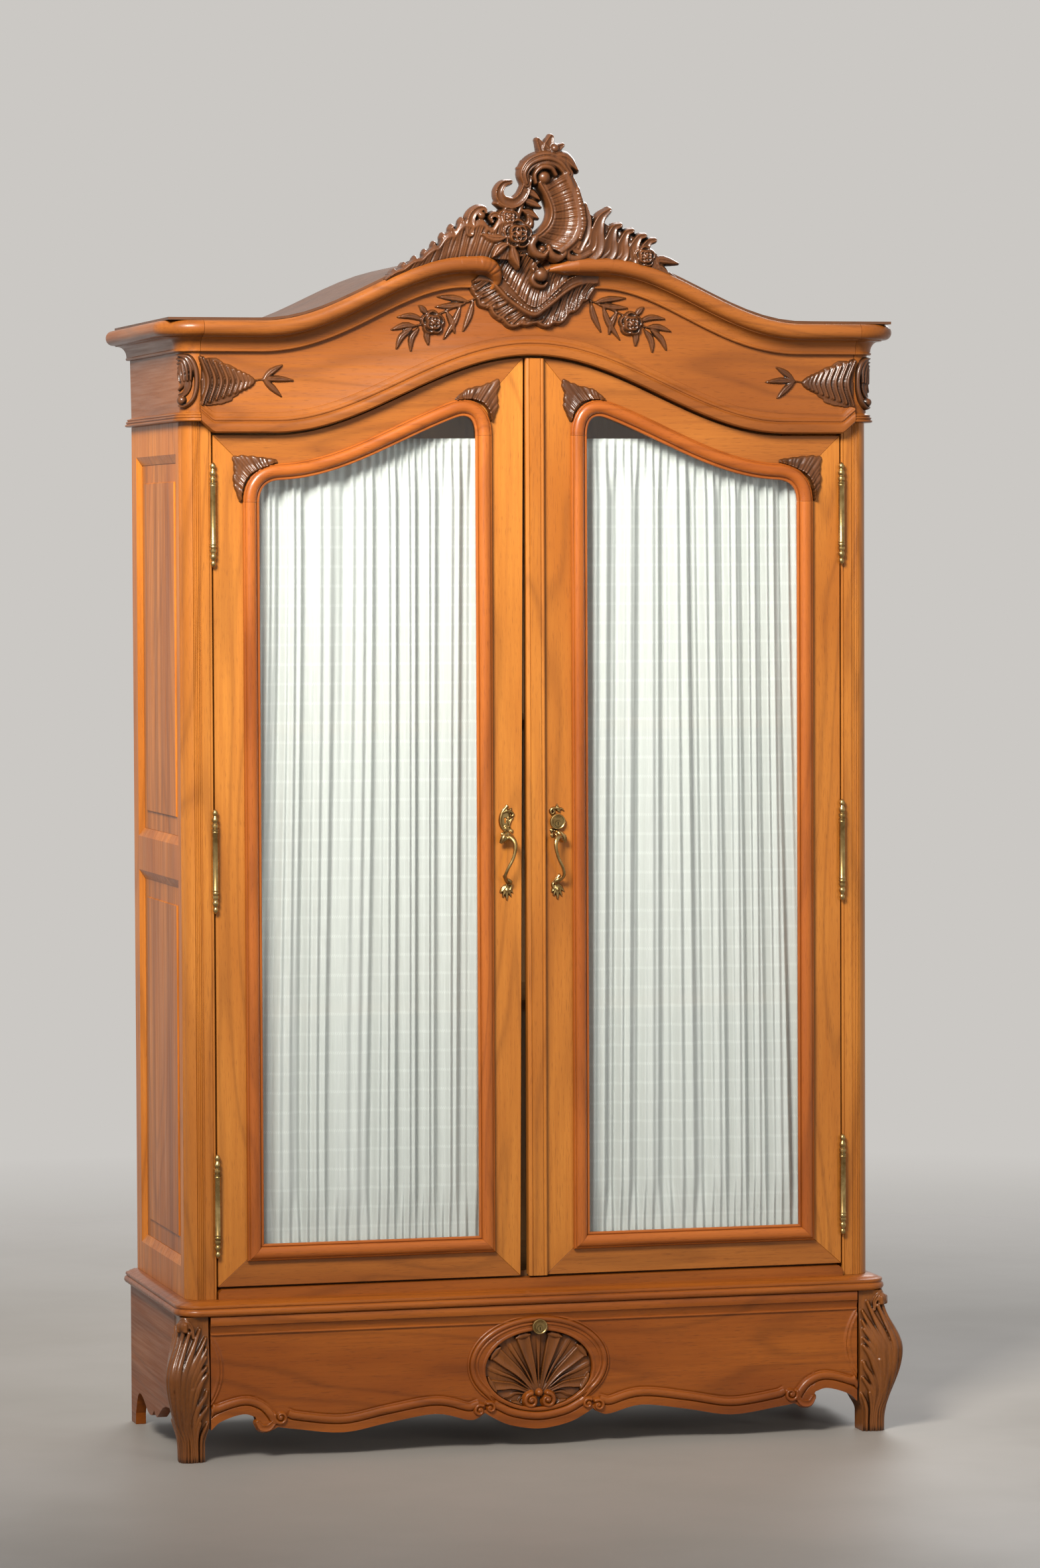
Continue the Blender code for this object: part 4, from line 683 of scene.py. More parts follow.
CURTAIN_X = (0.084, 0.5565)
CURTAIN_Z = (0.3845, 1.9300)
ROD_DEPTH = 0.036
CURTAIN_DEPTH = ROD_DEPTH - 0.0006
HEADING = 0.037
ROD_BACK = 0.0153
FULLNESS = 1.45
CURTAIN_FOLDS = 9
PLEATS = 29
FOLD_DEPTH = 0.0088
HEADING_FOLD_DEPTH = 0.0012
PLEAT_DEPTH = 0.0050
FOLD_LEAN = {"left": 1.2, "right": 0.4}
FOLD_SEED = 1.7
CURTAIN_COLUMNS, CURTAIN_ROWS, HEM_ROWS = 640, 96, 8
HALVINGS = 14


def folded_line(x, share, limit, z, seed, lean):
    """Depth of the cloth along one row: wide folds with narrow hollows between them, which lean towards the
    hinges, then fine pleats until the row has its full width of cloth."""
    fallen = ease((CURTAIN_Z[1] - z) / (CURTAIN_Z[1] - CURTAIN_Z[0]))
    drift = 0.34 * np.sin(5.1 * share + seed + 0.5 * z) + 0.20 * np.sin(12.7 * share + 2.0 * seed - 0.4 * z)
    drift = drift - lean * share**2 * fallen
    turn = 2.0 * math.pi * (CURTAIN_FOLDS * share + drift)
    wide = 0.42 + 0.26 * np.sin(6.3 * share + 1.3 * seed + 0.3 * z)
    fold = 0.14 * np.sin(3.0 * turn + seed) - np.tanh(2.2 * (np.cos(turn) + wide))
    fold = 2.0 * (fold - fold.min()) / (fold.max() - fold.min()) - 1.0
    pleat = np.sin(2.0 * math.pi * (PLEATS * share + 2.2 * drift))
    wanted = FULLNESS * (x[-1] - x[0])
    y = np.zeros_like(x)
    for shape, most in ((fold, limit), (pleat, PLEAT_DEPTH)):
        low, high = 0.0, most
        for _ in range(HALVINGS):
            size = 0.5 * (low + high)
            if np.hypot(np.diff(x), np.diff(y + size * shape)).sum() < wanted:
                low = size
            else:
                high = size
        y = y + low * shape
    return y


def turned_back(share, edge):
    """How far a hem is turned back behind its rod, at distances from its edge."""
    over = np.sin(math.pi * np.clip(1.25 * share, 0.0, 0.5))
    return over * np.interp(edge, (0.0, 0.006, 0.030, HEADING), (0.1, 1.0, 1.0, 0.32))


def curtain(name, side, material):
    """Sheer panel gathered on a rod at its head and at its foot, one sheet turned over both rods."""
    share = np.linspace(0.0, 1.0, CURTAIN_COLUMNS)
    x = CURTAIN_X[0] + (CURTAIN_X[1] - CURTAIN_X[0]) * share
    low, high = CURTAIN_Z
    hem = np.linspace(0.0, 1.0, HEM_ROWS)
    foot, head = low + HEADING * (1.0 - hem), high - HEADING * hem
    between = np.linspace(low, high, CURTAIN_ROWS)[1:-1]
    heights = np.concatenate([foot, between, head])
    behind = np.concatenate([turned_back(1.0 - hem, foot - low), 0.0 * between,
                             turned_back(hem, high - head)])
    rows = []
    for z, rear in zip(heights, behind):
        edge = min(z - low, high - z)
        deep = float(np.interp(edge, (HEADING, 3.0 * HEADING), (HEADING_FOLD_DEPTH, FOLD_DEPTH)))
        folds = folded_line(x, share, deep, z, side * FOLD_SEED, FOLD_LEAN[name])
        y = CURTAIN_DEPTH + folds + ROD_BACK * rear
        rows.append(np.stack([side * x, FACE_Y + y, np.full(CURTAIN_COLUMNS, z)], axis=1))
    grid = np.array(rows)
    steps = np.linalg.norm(np.diff(grid, axis=1), axis=2)
    run = np.concatenate([np.zeros((len(rows), 1)), np.cumsum(steps, axis=1)], 1)
    drop = np.concatenate([[0.0], np.cumsum(np.linalg.norm(np.diff(grid[:, ::8], axis=0), axis=2).mean(1))])
    uv = np.stack([run, np.repeat(drop[:, None], CURTAIN_COLUMNS, 1)], axis=2).reshape(-1, 2)
    faces = grid_faces(len(rows), CURTAIN_COLUMNS, flip=side > 0)
    made = piece(f"{name}_voile", grid.reshape(-1, 3), faces, material, f"{name}_door", [f"{name}_curtain"],
                 "voile", sharp=None, uv=uv)


# Crest

CREST_DEPTH = -0.036
CREST_FOOT = 2262
CREST_EDGE = 4.0
FRIEZE_DEPTH = -0.010


def carve_left_wing(r):
    """Ribbed wing with curls along its upper edge, and two small scrolls where it meets the roses."""
    low = [(-44, 2266), (-84, 2266), (-113, 2264), (-142, 2258), (-183, 2247), (-216, 2235), (-246, 2226),
           (-296, 2212)]
    top = [(-50, 2350), (-72, 2346), (-92, 2334), (-108, 2342), (-130, 2345), (-162, 2327), (-191, 2300),
           (-216, 2279), (-241, 2264), (-296, 2231)]
    r.band(low, top, (7, 8, 10, 12, 13, 15, 18, 14), ribs=40, depth=0.30, lean=0.12, ribbed=(-1.0, 0.86),
           scallops=7, scallop=0.13)
    crown = [(-288, 2234), (-241, 2262), (-216, 2277), (-191, 2298), (-162, 2325), (-136, 2342)]
    r.curls(crown, 8, 8, 6, (4, 8, 11, 12))
    r.stroke([(-131, 2316), (-128, 2345), (-117, 2359), (-104, 2362), (-99, 2355)], (8, 9, 8, 6, 3), 9,
             hollow_form, 11)
    r.ball((-109, 2349), 8, 12)
    r.stroke([(-62, 2322), (-67, 2342), (-81, 2351), (-91, 2346), (-87, 2337)], (8, 7, 6, 5, 3), 9,
             hollow_form, 9)


def carve_spray(r):
    """Two roses among leaves on a ribbed ground, and the horn that curls out above them."""
    r.band([(-76, 2272), (-72, 2304), (-62, 2352)], [(6, 2272), (-4, 2304), (-30, 2356)], (6, 6), ribs=9,
           depth=0.5)
    r.stroke([(-20, 2416), (-25, 2385), (-32, 2360), (-44, 2330)], (5, 5, 6, 8), 8, base=4)
    horn = [(-50, 2413), (-65, 2408), (-73, 2393), (-66, 2378), (-46, 2373), (-30, 2383), (-21, 2400),
            (-17, 2420)]
    r.stroke(horn, (4, 8, 10, 11, 11, 10, 8), 13, hollow_form, 6)
    upper = ([(-40, 2362), (-58, 2366), (-80, 2373)], [(-44, 2356), (-60, 2356), (-74, 2353)],
             [(-27, 2398), (-10, 2393), (7, 2380)], [(-27, 2380), (-8, 2374), (9, 2366)],
             [(-28, 2360), (-12, 2354), (4, 2345)])
    lower = ([(-60, 2308), (-84, 2306), (-108, 2313)], [(-54, 2296), (-70, 2290), (-88, 2270)],
             [(-50, 2294), (-44, 2274), (-36, 2252)])
    r.leaves(upper, 8, 6, 8)
    r.leaves(lower, 9, 6, 13)
    r.leaf([(-26, 2322), (-14, 2336), (-18, 2350)], 10, 6, 10)
    r.rose((-56, 2346), 17, 10)
    r.rose((-38, 2314), 25, 11)


def carve_scroll(r):
    """Ribbed C scroll that rolls over at its top, with a tuft of leaves above and three curls at its foot."""
    inner = [(4, 2412), (19, 2386), (28, 2357), (22, 2334), (6, 2317), (-10, 2308)]
    outer = [(64, 2434), (81, 2398), (90, 2366), (93, 2334), (82, 2302), (52, 2276)]
    r.band(inner, outer, (16, 20, 16, 12, 10, 11, 15, 21, 23, 15), ribs=30, depth=0.26, lean=0.10,
           ribbed=(0.08, 0.78))
    r.stroke(inner, 3, 5, base=17)
    r.stroke(outer, (3, 4, 4), 5, base=12)
    r.stroke([(78, 2400), (86, 2366), (90, 2334), (83, 2308)], (4, 6, 6, 4), 5, base=20, ribs=14, depth=0.5)
    roll = [(-20, 2410), (-24, 2430), (-10, 2449), (18, 2458), (44, 2450), (62, 2430)]
    r.stroke(roll, (9, 12, 14, 15, 14, 11), 15, fluted_form, (4, 6, 8, 10, 10, 8))
    r.curls([(-27, 2420), (-28, 2438), (-18, 2452), (-2, 2463)], 4, 9, 8, 7, way=-1.0)
    r.stroke([(-3, 2412), (-5, 2428), (8, 2441), (26, 2440), (36, 2428)], (4, 5, 6, 6, 5), 10,
             base=(12, 14, 16, 16, 12))
    r.leaf([(24, 2462), (56, 2458), (80, 2436)], 11, 8, 14)
    for tip, wide in (((4, 2493), 12), ((53, 2484), 10), ((30, 2499), 15)):
        middle = (0.5 * (tip[0] + 27) - 3, 0.5 * (tip[1] + 2462) + 1)
        r.stroke([(27, 2456), middle, tip], (0.9 * wide, wide, 0.35 * wide), 9, hollow_form, (6, 7, 6))
    r.stroke([(-4, 2308), (-11, 2294), (-4, 2279), (11, 2274), (20, 2283)], (8, 9, 9, 7, 4), 13, base=10)
    r.stroke([(22, 2290), (28, 2277), (42, 2271), (54, 2279), (51, 2290)], (6, 8, 8, 6, 4), 10, base=11)
    r.stroke([(56, 2284), (66, 2271), (84, 2270), (104, 2280)], (6, 8, 8, 6), 9, base=8)
    for centre, radius, base in (((13, 2422), 13, 14), ((36, 2477), 9, 10), ((9, 2286), 7, 14)):
        r.ball(centre, radius, base)


# Flame leaves of the right wing from its tip to the scroll, with their half widths
FLAMES = (
    ([(186, 2250), (208, 2265), (212, 2286), (222, 2302), (234, 2306)], (12, 15, 13, 8, 4)),
    ([(166, 2254), (188, 2272), (192, 2292), (202, 2310), (214, 2314)], (13, 16, 13, 8, 4)),
    ([(144, 2258), (166, 2276), (169, 2298), (177, 2318), (189, 2323)], (14, 17, 14, 8, 4)),
    ([(118, 2262), (142, 2282), (145, 2306), (152, 2327), (165, 2333)], (15, 18, 15, 9, 4)),
    ([(88, 2266), (114, 2288), (118, 2320), (126, 2346), (143, 2362)], (16, 19, 16, 10, 4)),
    ([(80, 2290), (93, 2318), (97, 2345), (95, 2371)], (13, 13, 10, 3)),
)
FLAME_LIFT = 1.2


def carve_right_wing(r):
    """Ribbed wing of flame leaves, each with a vein and a little above the next, and a rose spray."""
    low = [(50, 2262), (110, 2256), (160, 2247), (205, 2236), (250, 2224)]
    top = [(90, 2362), (118, 2348), (152, 2328), (196, 2310), (238, 2280)]
    r.band(low, top, (7, 9, 12, 13, 12, 8), ribs=30, depth=0.38, lean=0.12)
    for k, (line, width) in enumerate(FLAMES):
        lift = FLAME_LIFT * k
        r.stroke(line, width, (8, 10, 9, 7), hollow_form, (4 + lift, 5 + lift, 7 + lift, 8 + lift))
        r.stroke(line[:3], (3.2, 2.6, 1.2), (3.0, 2.6, 1.5), base=(7.5 + lift, 8 + lift, 9 + lift))
    r.rose((213, 2274), 18, 11)
    spray = ([(222, 2268), (250, 2268), (281, 2262)], [(224, 2263), (246, 2252), (264, 2239)],
             [(226, 2258), (252, 2242), (274, 2229)], [(228, 2252), (264, 2236), (298, 2219)])
    r.leaves(spray, 8, 6, 6)


def carve_crest():
    """Free-standing crest: a ribbed C scroll between two wings, with a rose spray on its left."""
    r = Relief((-306.0, 2205.0), (306.0, 2508.0), 1.1)
    for carve in (carve_left_wing, carve_spray, carve_scroll, carve_right_wing):
        carve(r)

    def back(x, z, h):
        return np.where(z < CREST_FOOT, 22.0, CREST_EDGE + 0.45 * h)

    carving("crest_scrolls", r, CREST_DEPTH, CARVED, "carcass", ["crest_carving"], back=back, edge=CREST_EDGE)


def carve_shell():
    """Ribbed shell under the crest, with a beaded rim, a knob and a wavy collar."""
    r = Relief((-136.0, 2128.0), (160.0, 2300.0), 1.1)
    rim = [(-118, 2226), (-87, 2228), (-70, 2212), (-54, 2195), (-33, 2179), (-13, 2167), (2, 2164),
           (17, 2173), (38, 2189), (58, 2205), (79, 2218), (100, 2224), (126, 2224)]
    collar = [(-122, 2214), (-114, 2200), (-106, 2180), (-87, 2173), (-70, 2155), (-46, 2140), (-20, 2143),
              (0, 2146), (25, 2140), (48, 2143), (70, 2158), (90, 2175), (106, 2190), (120, 2212)]
    funnel = [(-90, 2262), (-72, 2246), (-58, 2228), (-37, 2205), (-21, 2189), (0, 2177), (21, 2189),
              (42, 2209), (67, 2230), (96, 2240), (132, 2246)]
    hub = [(-72, 2294), (-50, 2290), (-28, 2282), (-8, 2268), (4, 2252), (14, 2244), (24, 2250), (44, 2256),
           (70, 2258), (100, 2258), (132, 2258)]
    r.band(hub, funnel, (40, 31, 23, 20, 21, 26), ribs=36, depth=0.20, lean=0.03)
    r.band(funnel, rim, (22, 18, 20))
    r.band(rim, collar, (20, 16, 12, 11, 14, 12), ribs=38, depth=0.45, lean=0.10, scallops=9, scallop=0.16)
    wavy = smooth(collar, 4)
    middle = resampled(smooth(rim), len(wavy))
    dip = 0.93 - 0.14 * (1.0 - np.abs(np.sin(9.0 * math.pi * np.linspace(0.0, 1.0, len(wavy)))))
    r.stroke(middle + (wavy - middle) * dip[:, None], (2.6, 3.2, 2.6), 4.5, base=(7, 10, 9, 10, 7))
    r.stroke(rim, (3.5, 4.5, 3.5), 6, base=(8, 18, 20, 22, 20, 18, 8))
    bead = [(p[0] * 0.93, p[1] + 7) for p in rim[1:-1]]
    r.stroke(bead, (2.0, 2.8, 2.0), 4, base=(10, 20, 21, 20, 10), ribs=40, depth=0.8)
    r.ball((11, 2239), 14, 28)
    r.stroke([(-2, 2242), (-5, 2229), (3, 2219), (16, 2217), (23, 2224)], (4, 6, 6, 5, 3), 8, base=24)
    r.stroke([(6, 2266), (-5, 2256), (-4, 2245)], (5, 6, 3), 7, base=30, ribs=3)
    carving("crest_shell", r, FRIEZE_DEPTH, CARVED, "carcass", ["crest_carving"])


def carve_rolls(material):
    """Ends of the two cornice mouldings: the left one curls under, the right one tapers to the knob."""
    r = Relief((-150.0, 2204.0), (150.0, 2276.0), 1.0)
    r.stroke([(-146, 2257.5), (-120, 2257.8), (-98, 2257)], 14.8, 14.8, base=35.4)
    curl = [(-124, 2258), (-102, 2258), (-87, 2252), (-77, 2240), (-74, 2226), (-81, 2214)]
    r.stroke(curl, (14.8, 15, 14.5, 12.5, 9, 5), (14.8, 15, 14.5, 12.5, 9, 5),
             base=(35.4, 36, 35, 31, 23, 12), ribs=6, depth=0.16)
    tail = [(18, 2246), (40, 2251), (66, 2255), (90, 2257.5), (146, 2257.5)]
    r.stroke(tail, (2.5, 9.5, 14.6, 15, 15), (3, 9.5, 14.6, 15, 15), base=(32, 34, 35.2, 35.2, 35.2))
    carving("cornice_rolls", r, FRIEZE_DEPTH, material, "carcass", slot="walnut")


# Applied carving on the frieze and the doors


def carve_frieze(name, side):
    """Rose spray beside the shell, and the ribbed shell at the frieze's end."""
    r = Relief((90.0, 1984.0), (650.0, 2206.0), 1.25)
    r.stroke([(106, 2196), (150, 2178), (192, 2160)], (2.0, 2.2, 2.0), 4)
    r.stroke([(196, 2150), (226, 2142), (252, 2132)], (2.2, 2.0, 1.6), 4)
    leaves = ([(124, 2188), (150, 2194), (186, 2197)], [(132, 2184), (158, 2180), (190, 2178)],
              [(116, 2190), (122, 2164), (136, 2132)], [(140, 2182), (152, 2150), (174, 2117)],
              [(168, 2170), (158, 2150), (152, 2128)], [(212, 2152), (236, 2160), (264, 2158)],
              [(228, 2142), (250, 2142), (276, 2134)], [(236, 2136), (256, 2120), (266, 2098)],
              [(222, 2138), (236, 2118), (238, 2094)], [(204, 2140), (206, 2124), (204, 2106)],
              [(206, 2164), (216, 2176), (222, 2180)])
    r.leaves(leaves, 7, 7)
    r.rose((195, 2148), 20, 4)
    edge = [(641, 2078), (642, 2034), (643, 1991)]
    outline = [(612, 2079), (596, 2069), (580, 2064), (566, 2051), (537, 2038), (558, 2026), (572, 2011),
               (592, 1996), (628, 1990)]
    r.band(edge, outline, (4, 4, 4, 4), scallops=11, scallop=0.06)
    for k in range(10):
        share = k / 9
        x = 635 - 90 * (1.0 - (1.0 - share) ** 1.35)
        half = 44 - 38 * share**0.9
        bow = 13 * (1.0 - 0.75 * share)
        line = [(x + 0.7 * bow, 2036 + half), (x - 0.4 * bow, 2036), (x + 0.5 * bow, 2036 - half)]
        r.stroke(line, (3.4, 4.8 - 2.2 * share, 3.0), 10 - 5 * share, base=2)
        fine = [(px - 6.0 * (1.0 - 0.6 * share), pz) for px, pz in line]
        r.stroke(fine, (1.6, 1.9, 1.4), 5 - 2 * share, base=3)
    r.stroke([(544, 2037), (530, 2039), (520, 2040)], (2.5, 1.8, 2.2), 4)
    for tip in ((486, 2067), (465, 2038), (488, 2007)):
        r.leaf([(524, 2040), (0.5 * (526 + tip[0]), 0.5 * (2043 + tip[1])), tip], 7, 7)
    carving(f"{name}_frieze_carving", r, FRIEZE_DEPTH, CARVED, "carcass", side=side)


# Edge against the glazing bead and outer edge of each leaf
DOOR_LEAVES = (
    ([(496, 1884), (528, 1872), (547, 1862), (556, 1852), (561, 1842), (564, 1828), (566, 1810)],
     [(496, 1889), (527, 1894), (556, 1897), (580, 1895), (579, 1872), (580, 1846), (568, 1810)]),
    ([(148, 2001), (122, 2004), (104, 2000), (96, 1996), (88, 1988), (83, 1978), (79, 1962)],
     [(148, 2005), (123, 2024), (94, 2031), (61, 2042), (66, 2013), (64, 1993), (77, 1962)]),
)


def carve_door_corners(name, side):
    """Ribbed fan leaves in the two upper corners of a door."""
    r = Relief((50.0, 1806.0), (590.0, 2050.0), 1.25)
    for bead, edge in DOOR_LEAVES:
        r.band(bead, edge, (15, 12, 9, 8, 7, 5), ribs=15, depth=0.4, lean=0.04, scallops=9, scallop=0.10)
    carving(f"{name}_door_leaves", r, 0.0, CARVED, f"{name}_door", side=side)


# Drawer front

DRAWER_HALF = 640.5
DRAWER_TOP = 274.5
DRAWER_DEPTH = -0.028
DRAWER_THICK = 0.022
SKIRT = (
    ((-92, 60), (-57, 44), (0, 35), (57, 44), (92, 60), (107, 70)),
    ((107, 70), (122, 60), (142, 58), (204, 72), (294, 60), (385, 45), (480, 56), (512, 61)),
    ((512, 61), (530, 54), (548, 64), (555, 82)),
    ((555, 82), (580, 88), (621, 76), (640.5, 60)),
)
SKIRT_MOULDINGS = (
    ((-104, 68), (-92, 60), (-57, 44), (0, 35), (57, 44), (92, 60), (104, 68)),
    ((113, 64), (142, 58), (204, 72), (294, 60), (385, 45), (480, 56), (503, 64)),
    ((539, 58), (546, 71), (558, 83), (580, 88), (621, 76), (640.2, 60.3)),
)
SKIRT_BAND = 4.2
SKIRT_FIELD = 32.0
SKIRT_REACH = 36.0


def skirt_section(up):
    """Height of the skirt above its edge: a flat band, and a quirk above the place of the bead."""
    band = SKIRT_BAND * ease((17.2 - up) / 1.4)
    return band - 2.0 * np.exp(-(((up - 33.4) / 1.4) ** 2))


def half_round(centre, half, foot, rise, count=11):
    """Points of a bead's section, as places across it and heights."""
    return [(centre - half * math.cos(a), foot + rise * math.sin(a))
            for a in np.linspace(0.0, math.pi, count)]


SKIRT_BEAD = ((17.3, -1.0), (17.3, 2.4), *half_round(24.6, 7.3, 3.0, 5.6), (31.9, 2.4), (31.9, -1.0))
OVAL_HALF = (141.0, 95.5)
OVAL_MIDDLE = 160.0
OVAL_LAP = 8.0
OVAL_GROUND = 4.6
OVAL_SECTION = ((0.0, -1.0), (0.0, 1.6), (0.8, 3.0), (2.4, 3.6), (3.8, 3.0), (4.4, 1.8),
                *half_round(9.9, 5.2, 2.4, 5.4), (15.6, 2.4), *half_round(18.4, 2.6, 4.2, 2.2, 7),
                (21.2, 4.6), (21.2, -1.0))
OVAL_END = math.radians(143.0)
OVAL_TAPER = math.radians(16.0)
TOP_HEIGHT = 36.0
TOP_SECTION = ((0.0, -1.0), (0.0, 1.4), *half_round(2.2, 2.1, 1.8, 1.8, 7), (4.7, 1.4), (8.0, 2.0),
               (12.0, 3.4), (15.5, 5.2), (17.4, 6.8), (17.6, 4.0), (19.0, 4.0), (19.2, 6.6), (19.8, 6.9),
               (35.4, 6.9), (36.0, 6.4), (36.0, -1.0))
DISH_HALF = (106.0, 74.0)
DISH_MIDDLE = 150.0
DISH_SECTION = ((-0.2, -9.6), (-0.2, 4.2), (0.5, 5.6), (1.8, 6.2), (5.0, 6.0), (6.6, 5.0), (7.0, 3.0),
                (7.0, -9.6))


def run_moulding(name, line, out, section, material, side=1, loop=False, scale=None):
    """Moulding on the drawer front: a section carried along a line of places and directions, in mm."""
    sizes = np.ones(len(line)) if scale is None else scale
    rings = [[((x + nx * across * size) * MM, DRAWER_DEPTH - rise * size * MM, (z + nz * across * size) * MM)
              for across, rise in section] for (x, z), (nx, nz), size in zip(line, out, sizes)]
    lofted(name, rings, material, "drawer", ["drawer_front"], side, sharp=44.0, loop=loop)


def skirt_bead(name, guide, material, side, square):
    """Bead over one curve of the skirt. A square end stands upright against the drawer's edge."""
    line = resampled(smooth(guide, 8), 72)
    ahead = np.gradient(line, axis=0)
    out = np.stack([-ahead[:, 1], ahead[:, 0]], axis=1) / np.linalg.norm(ahead, axis=1)[:, None]
    if square:
        upright = ease(np.linspace(-1.0, 1.0, len(line)))[:, None]
        lean = out * (1.0 - upright) + np.array((0.0, 1.0)) * upright
        out = lean / (lean * out).sum(axis=1)[:, None]
    run_moulding(name, line, out, SKIRT_BEAD, material, side)


def oval(half, middle, turns, way):
    """Places on an oval and the directions across it: out of it for way 1, into it for way -1."""
    line = np.array([(half[0] * math.sin(a), middle + half[1] * math.cos(a)) for a in turns])
    out = way * np.array([(math.sin(a) / half[0], math.cos(a) / half[1]) for a in turns])
    return line, out / np.linalg.norm(out, axis=1)[:, None]


END_BOW, END_MIDDLE, END_HALF = 25.0, 173.0, 70.0
DRAWER_COLUMNS = 700
POCKET_DEPTH, POCKET_MORE = 10.0, 2.6


def drawer_relief(skirt):
    """Drawer front between its mouldings: skirt, arched ends, ground of the oval, pocket of the shell."""
    r = Relief((-642.0, 32.0), (642.0, 276.0), 1.0)
    x, z = np.meshgrid(r.xs, r.zs)
    line = np.vstack([skirt[::-1] * (-1, 1), skirt])
    line = line[np.concatenate(([True], np.hypot(*np.diff(line, axis=0).T) > 0.01))]
    _, above_edge = along(line, x, z)
    field = above_edge > SKIRT_FIELD
    h = np.where(above_edge < 6.0, SKIRT_BAND, 0.0)
    for guide in SKIRT_MOULDINGS:
        share, up = along(smooth(guide, 6), np.abs(x), z)
        section = skirt_section(up)
        section = np.where(up > SKIRT_FIELD, section, np.maximum(h, section))
        h = np.where((share > 0.0) & (share < 1.0) & (up < SKIRT_REACH), section, h)
    into = np.abs(x) - DRAWER_HALF + END_BOW * np.clip(1.0 - ((z - END_MIDDLE) / END_HALF) ** 2, 0.0, 1.0)
    quirk = 2.6 * np.exp(-(((into - 5.5) / 1.1) ** 2))
    end = np.clip(into * 2.0, 0.0, 3.4) - quirk + 1.4 * round_form((into - 9.5) / 3.0)
    h = np.where((into > 0) & field, np.maximum(h, end), h)
    within = np.hypot(x / (OVAL_HALF[0] - OVAL_LAP), (z - OVAL_MIDDLE) / (OVAL_HALF[1] - OVAL_LAP)) < 1.0
    h = np.where(field & within, OVAL_GROUND, h)
    h = np.where(z > DRAWER_TOP - TOP_HEIGHT + 2.0, 1.6, h)
    r.height = np.where(shell_dish(x, z, POCKET_MORE) < 1.0, -POCKET_DEPTH, h)
    r.soften()
    return r


def carve_drawer(material):
    """Drawer front with a moulded skirt, arched ends and an oval frame round the place of the shell."""
    skirt = np.vstack([smooth(part, 5) for part in SKIRT])
    skirt = skirt[skirt[:, 0] >= 0.0]
    share = np.concatenate([np.linspace(0.0, 0.17, 44), np.linspace(0.17, 1.0, 92)[1:]])[:, None]
    xs = np.linspace(-DRAWER_HALF, DRAWER_HALF, DRAWER_COLUMNS)
    low = np.interp(np.abs(xs), skirt[:, 0], skirt[:, 1])
    zs = low + (DRAWER_TOP - low) * share
    wide = np.repeat(xs[None, :], len(share), 0)
    front = DRAWER_DEPTH - drawer_relief(skirt).at(wide, zs) * MM
    back = np.full_like(front, DRAWER_DEPTH + DRAWER_THICK)
    points, faces = closed_sheet(*[np.stack([wide * MM, FACE_Y + y, zs * MM], axis=2) for y in (front, back)])
    piece("drawer_face", points, faces, material, "drawer", ["drawer_front"], "walnut", sharp=40.0)
    middle, inner, outer = SKIRT_MOULDINGS
    skirt_bead("skirt_bead_middle", middle, material, 1, False)
    for name, side in SIDES:
        skirt_bead(f"skirt_bead_{name}", inner, material, side, False)
        skirt_bead(f"skirt_bead_{name}_end", outer, material, side, True)
    upper = np.linspace(-OVAL_END, OVAL_END, 141)
    taper = 0.25 + 0.75 * ease((OVAL_END - np.abs(upper)) / OVAL_TAPER)
    run_moulding("oval_frame", *oval(OVAL_HALF, OVAL_MIDDLE, upper, -1.0), OVAL_SECTION, material,
                 scale=taper)
    ends = [(x, DRAWER_TOP - TOP_HEIGHT) for x in (-DRAWER_HALF, DRAWER_HALF)]
    run_moulding("drawer_top_moulding", ends, [(0.0, 1.0)] * 2, TOP_SECTION, material)
    whole = np.radians(np.linspace(-180.0, 180.0, 128, endpoint=False))
    run_moulding("shell_rim", *oval(DISH_HALF, DISH_MIDDLE, whole, 1.0), DISH_SECTION, material, loop=True)
    carve_skirt_scrolls(material)


def carve_skirt_scrolls(material):
    """Scrolls that end the skirt's beads, and the two at the hub of the shell."""
    r = Relief((-560.0, 40.0), (560.0, 120.0), 0.8)
    for side in (-1, 1):
        r.volute((118 * side, 75), 11, 1.3, math.pi / 2 + 0.6 * side, -side, 3.8, 4.5, 6.0)
        r.volute((97 * side, 79), 10, 1.2, math.pi / 2 - 0.6 * side, side, 3.6, 4.5, 6.0)
        r.volute((506 * side, 79), 13, 1.4, math.pi / 2 - 1.2 * side, -side, 4.2, 4.5, 5.5)
        r.volute((1 + 16 * side, 89), 14, 1.4, math.pi / 2, -side, 4.4, 4.0, 5.0)
        tongue = [(520 * side, 70), (530 * side, 61), (543 * side, 61), (551 * side, 71)]
        r.stroke(tongue, (5, 7, 7, 5), 5, hollow_form, 5)
    r.ball((1, 104), 7, 2)
    carving("skirt_scrolls", r, DRAWER_DEPTH, material, "drawer", ["drawer_front"], "walnut", back=4.0)


SHELL_HUB = (1.0, 92.0)
SHELL_RIDGES = 8
SHELL_STEP = math.radians(29.0)
SHELL_DEPTH = DRAWER_DEPTH + 0.0105


def shell_dish(x, z, more=0.0):
    """1 on the oval edge of the shell and less inside it."""
    return np.hypot(x / (DISH_HALF[0] + more), (z - DISH_MIDDLE) / (DISH_HALF[1] + more))


def shell_reach(turn):
    """Distance from the shell's hub to its oval edge, in one direction."""
    sx, cz = math.sin(turn), math.cos(turn)
    a, b = DISH_HALF
    dx, dz = SHELL_HUB[0], SHELL_HUB[1] - DISH_MIDDLE
    qa = (sx / a) ** 2 + (cz / b) ** 2
    qb = 2.0 * (dx * sx / a**2 + dz * cz / b**2)
    qc = (dx / a) ** 2 + (dz / b) ** 2 - 1.0
    return (-qb + math.sqrt(qb * qb - 4.0 * qa * qc)) / (2.0 * qa)


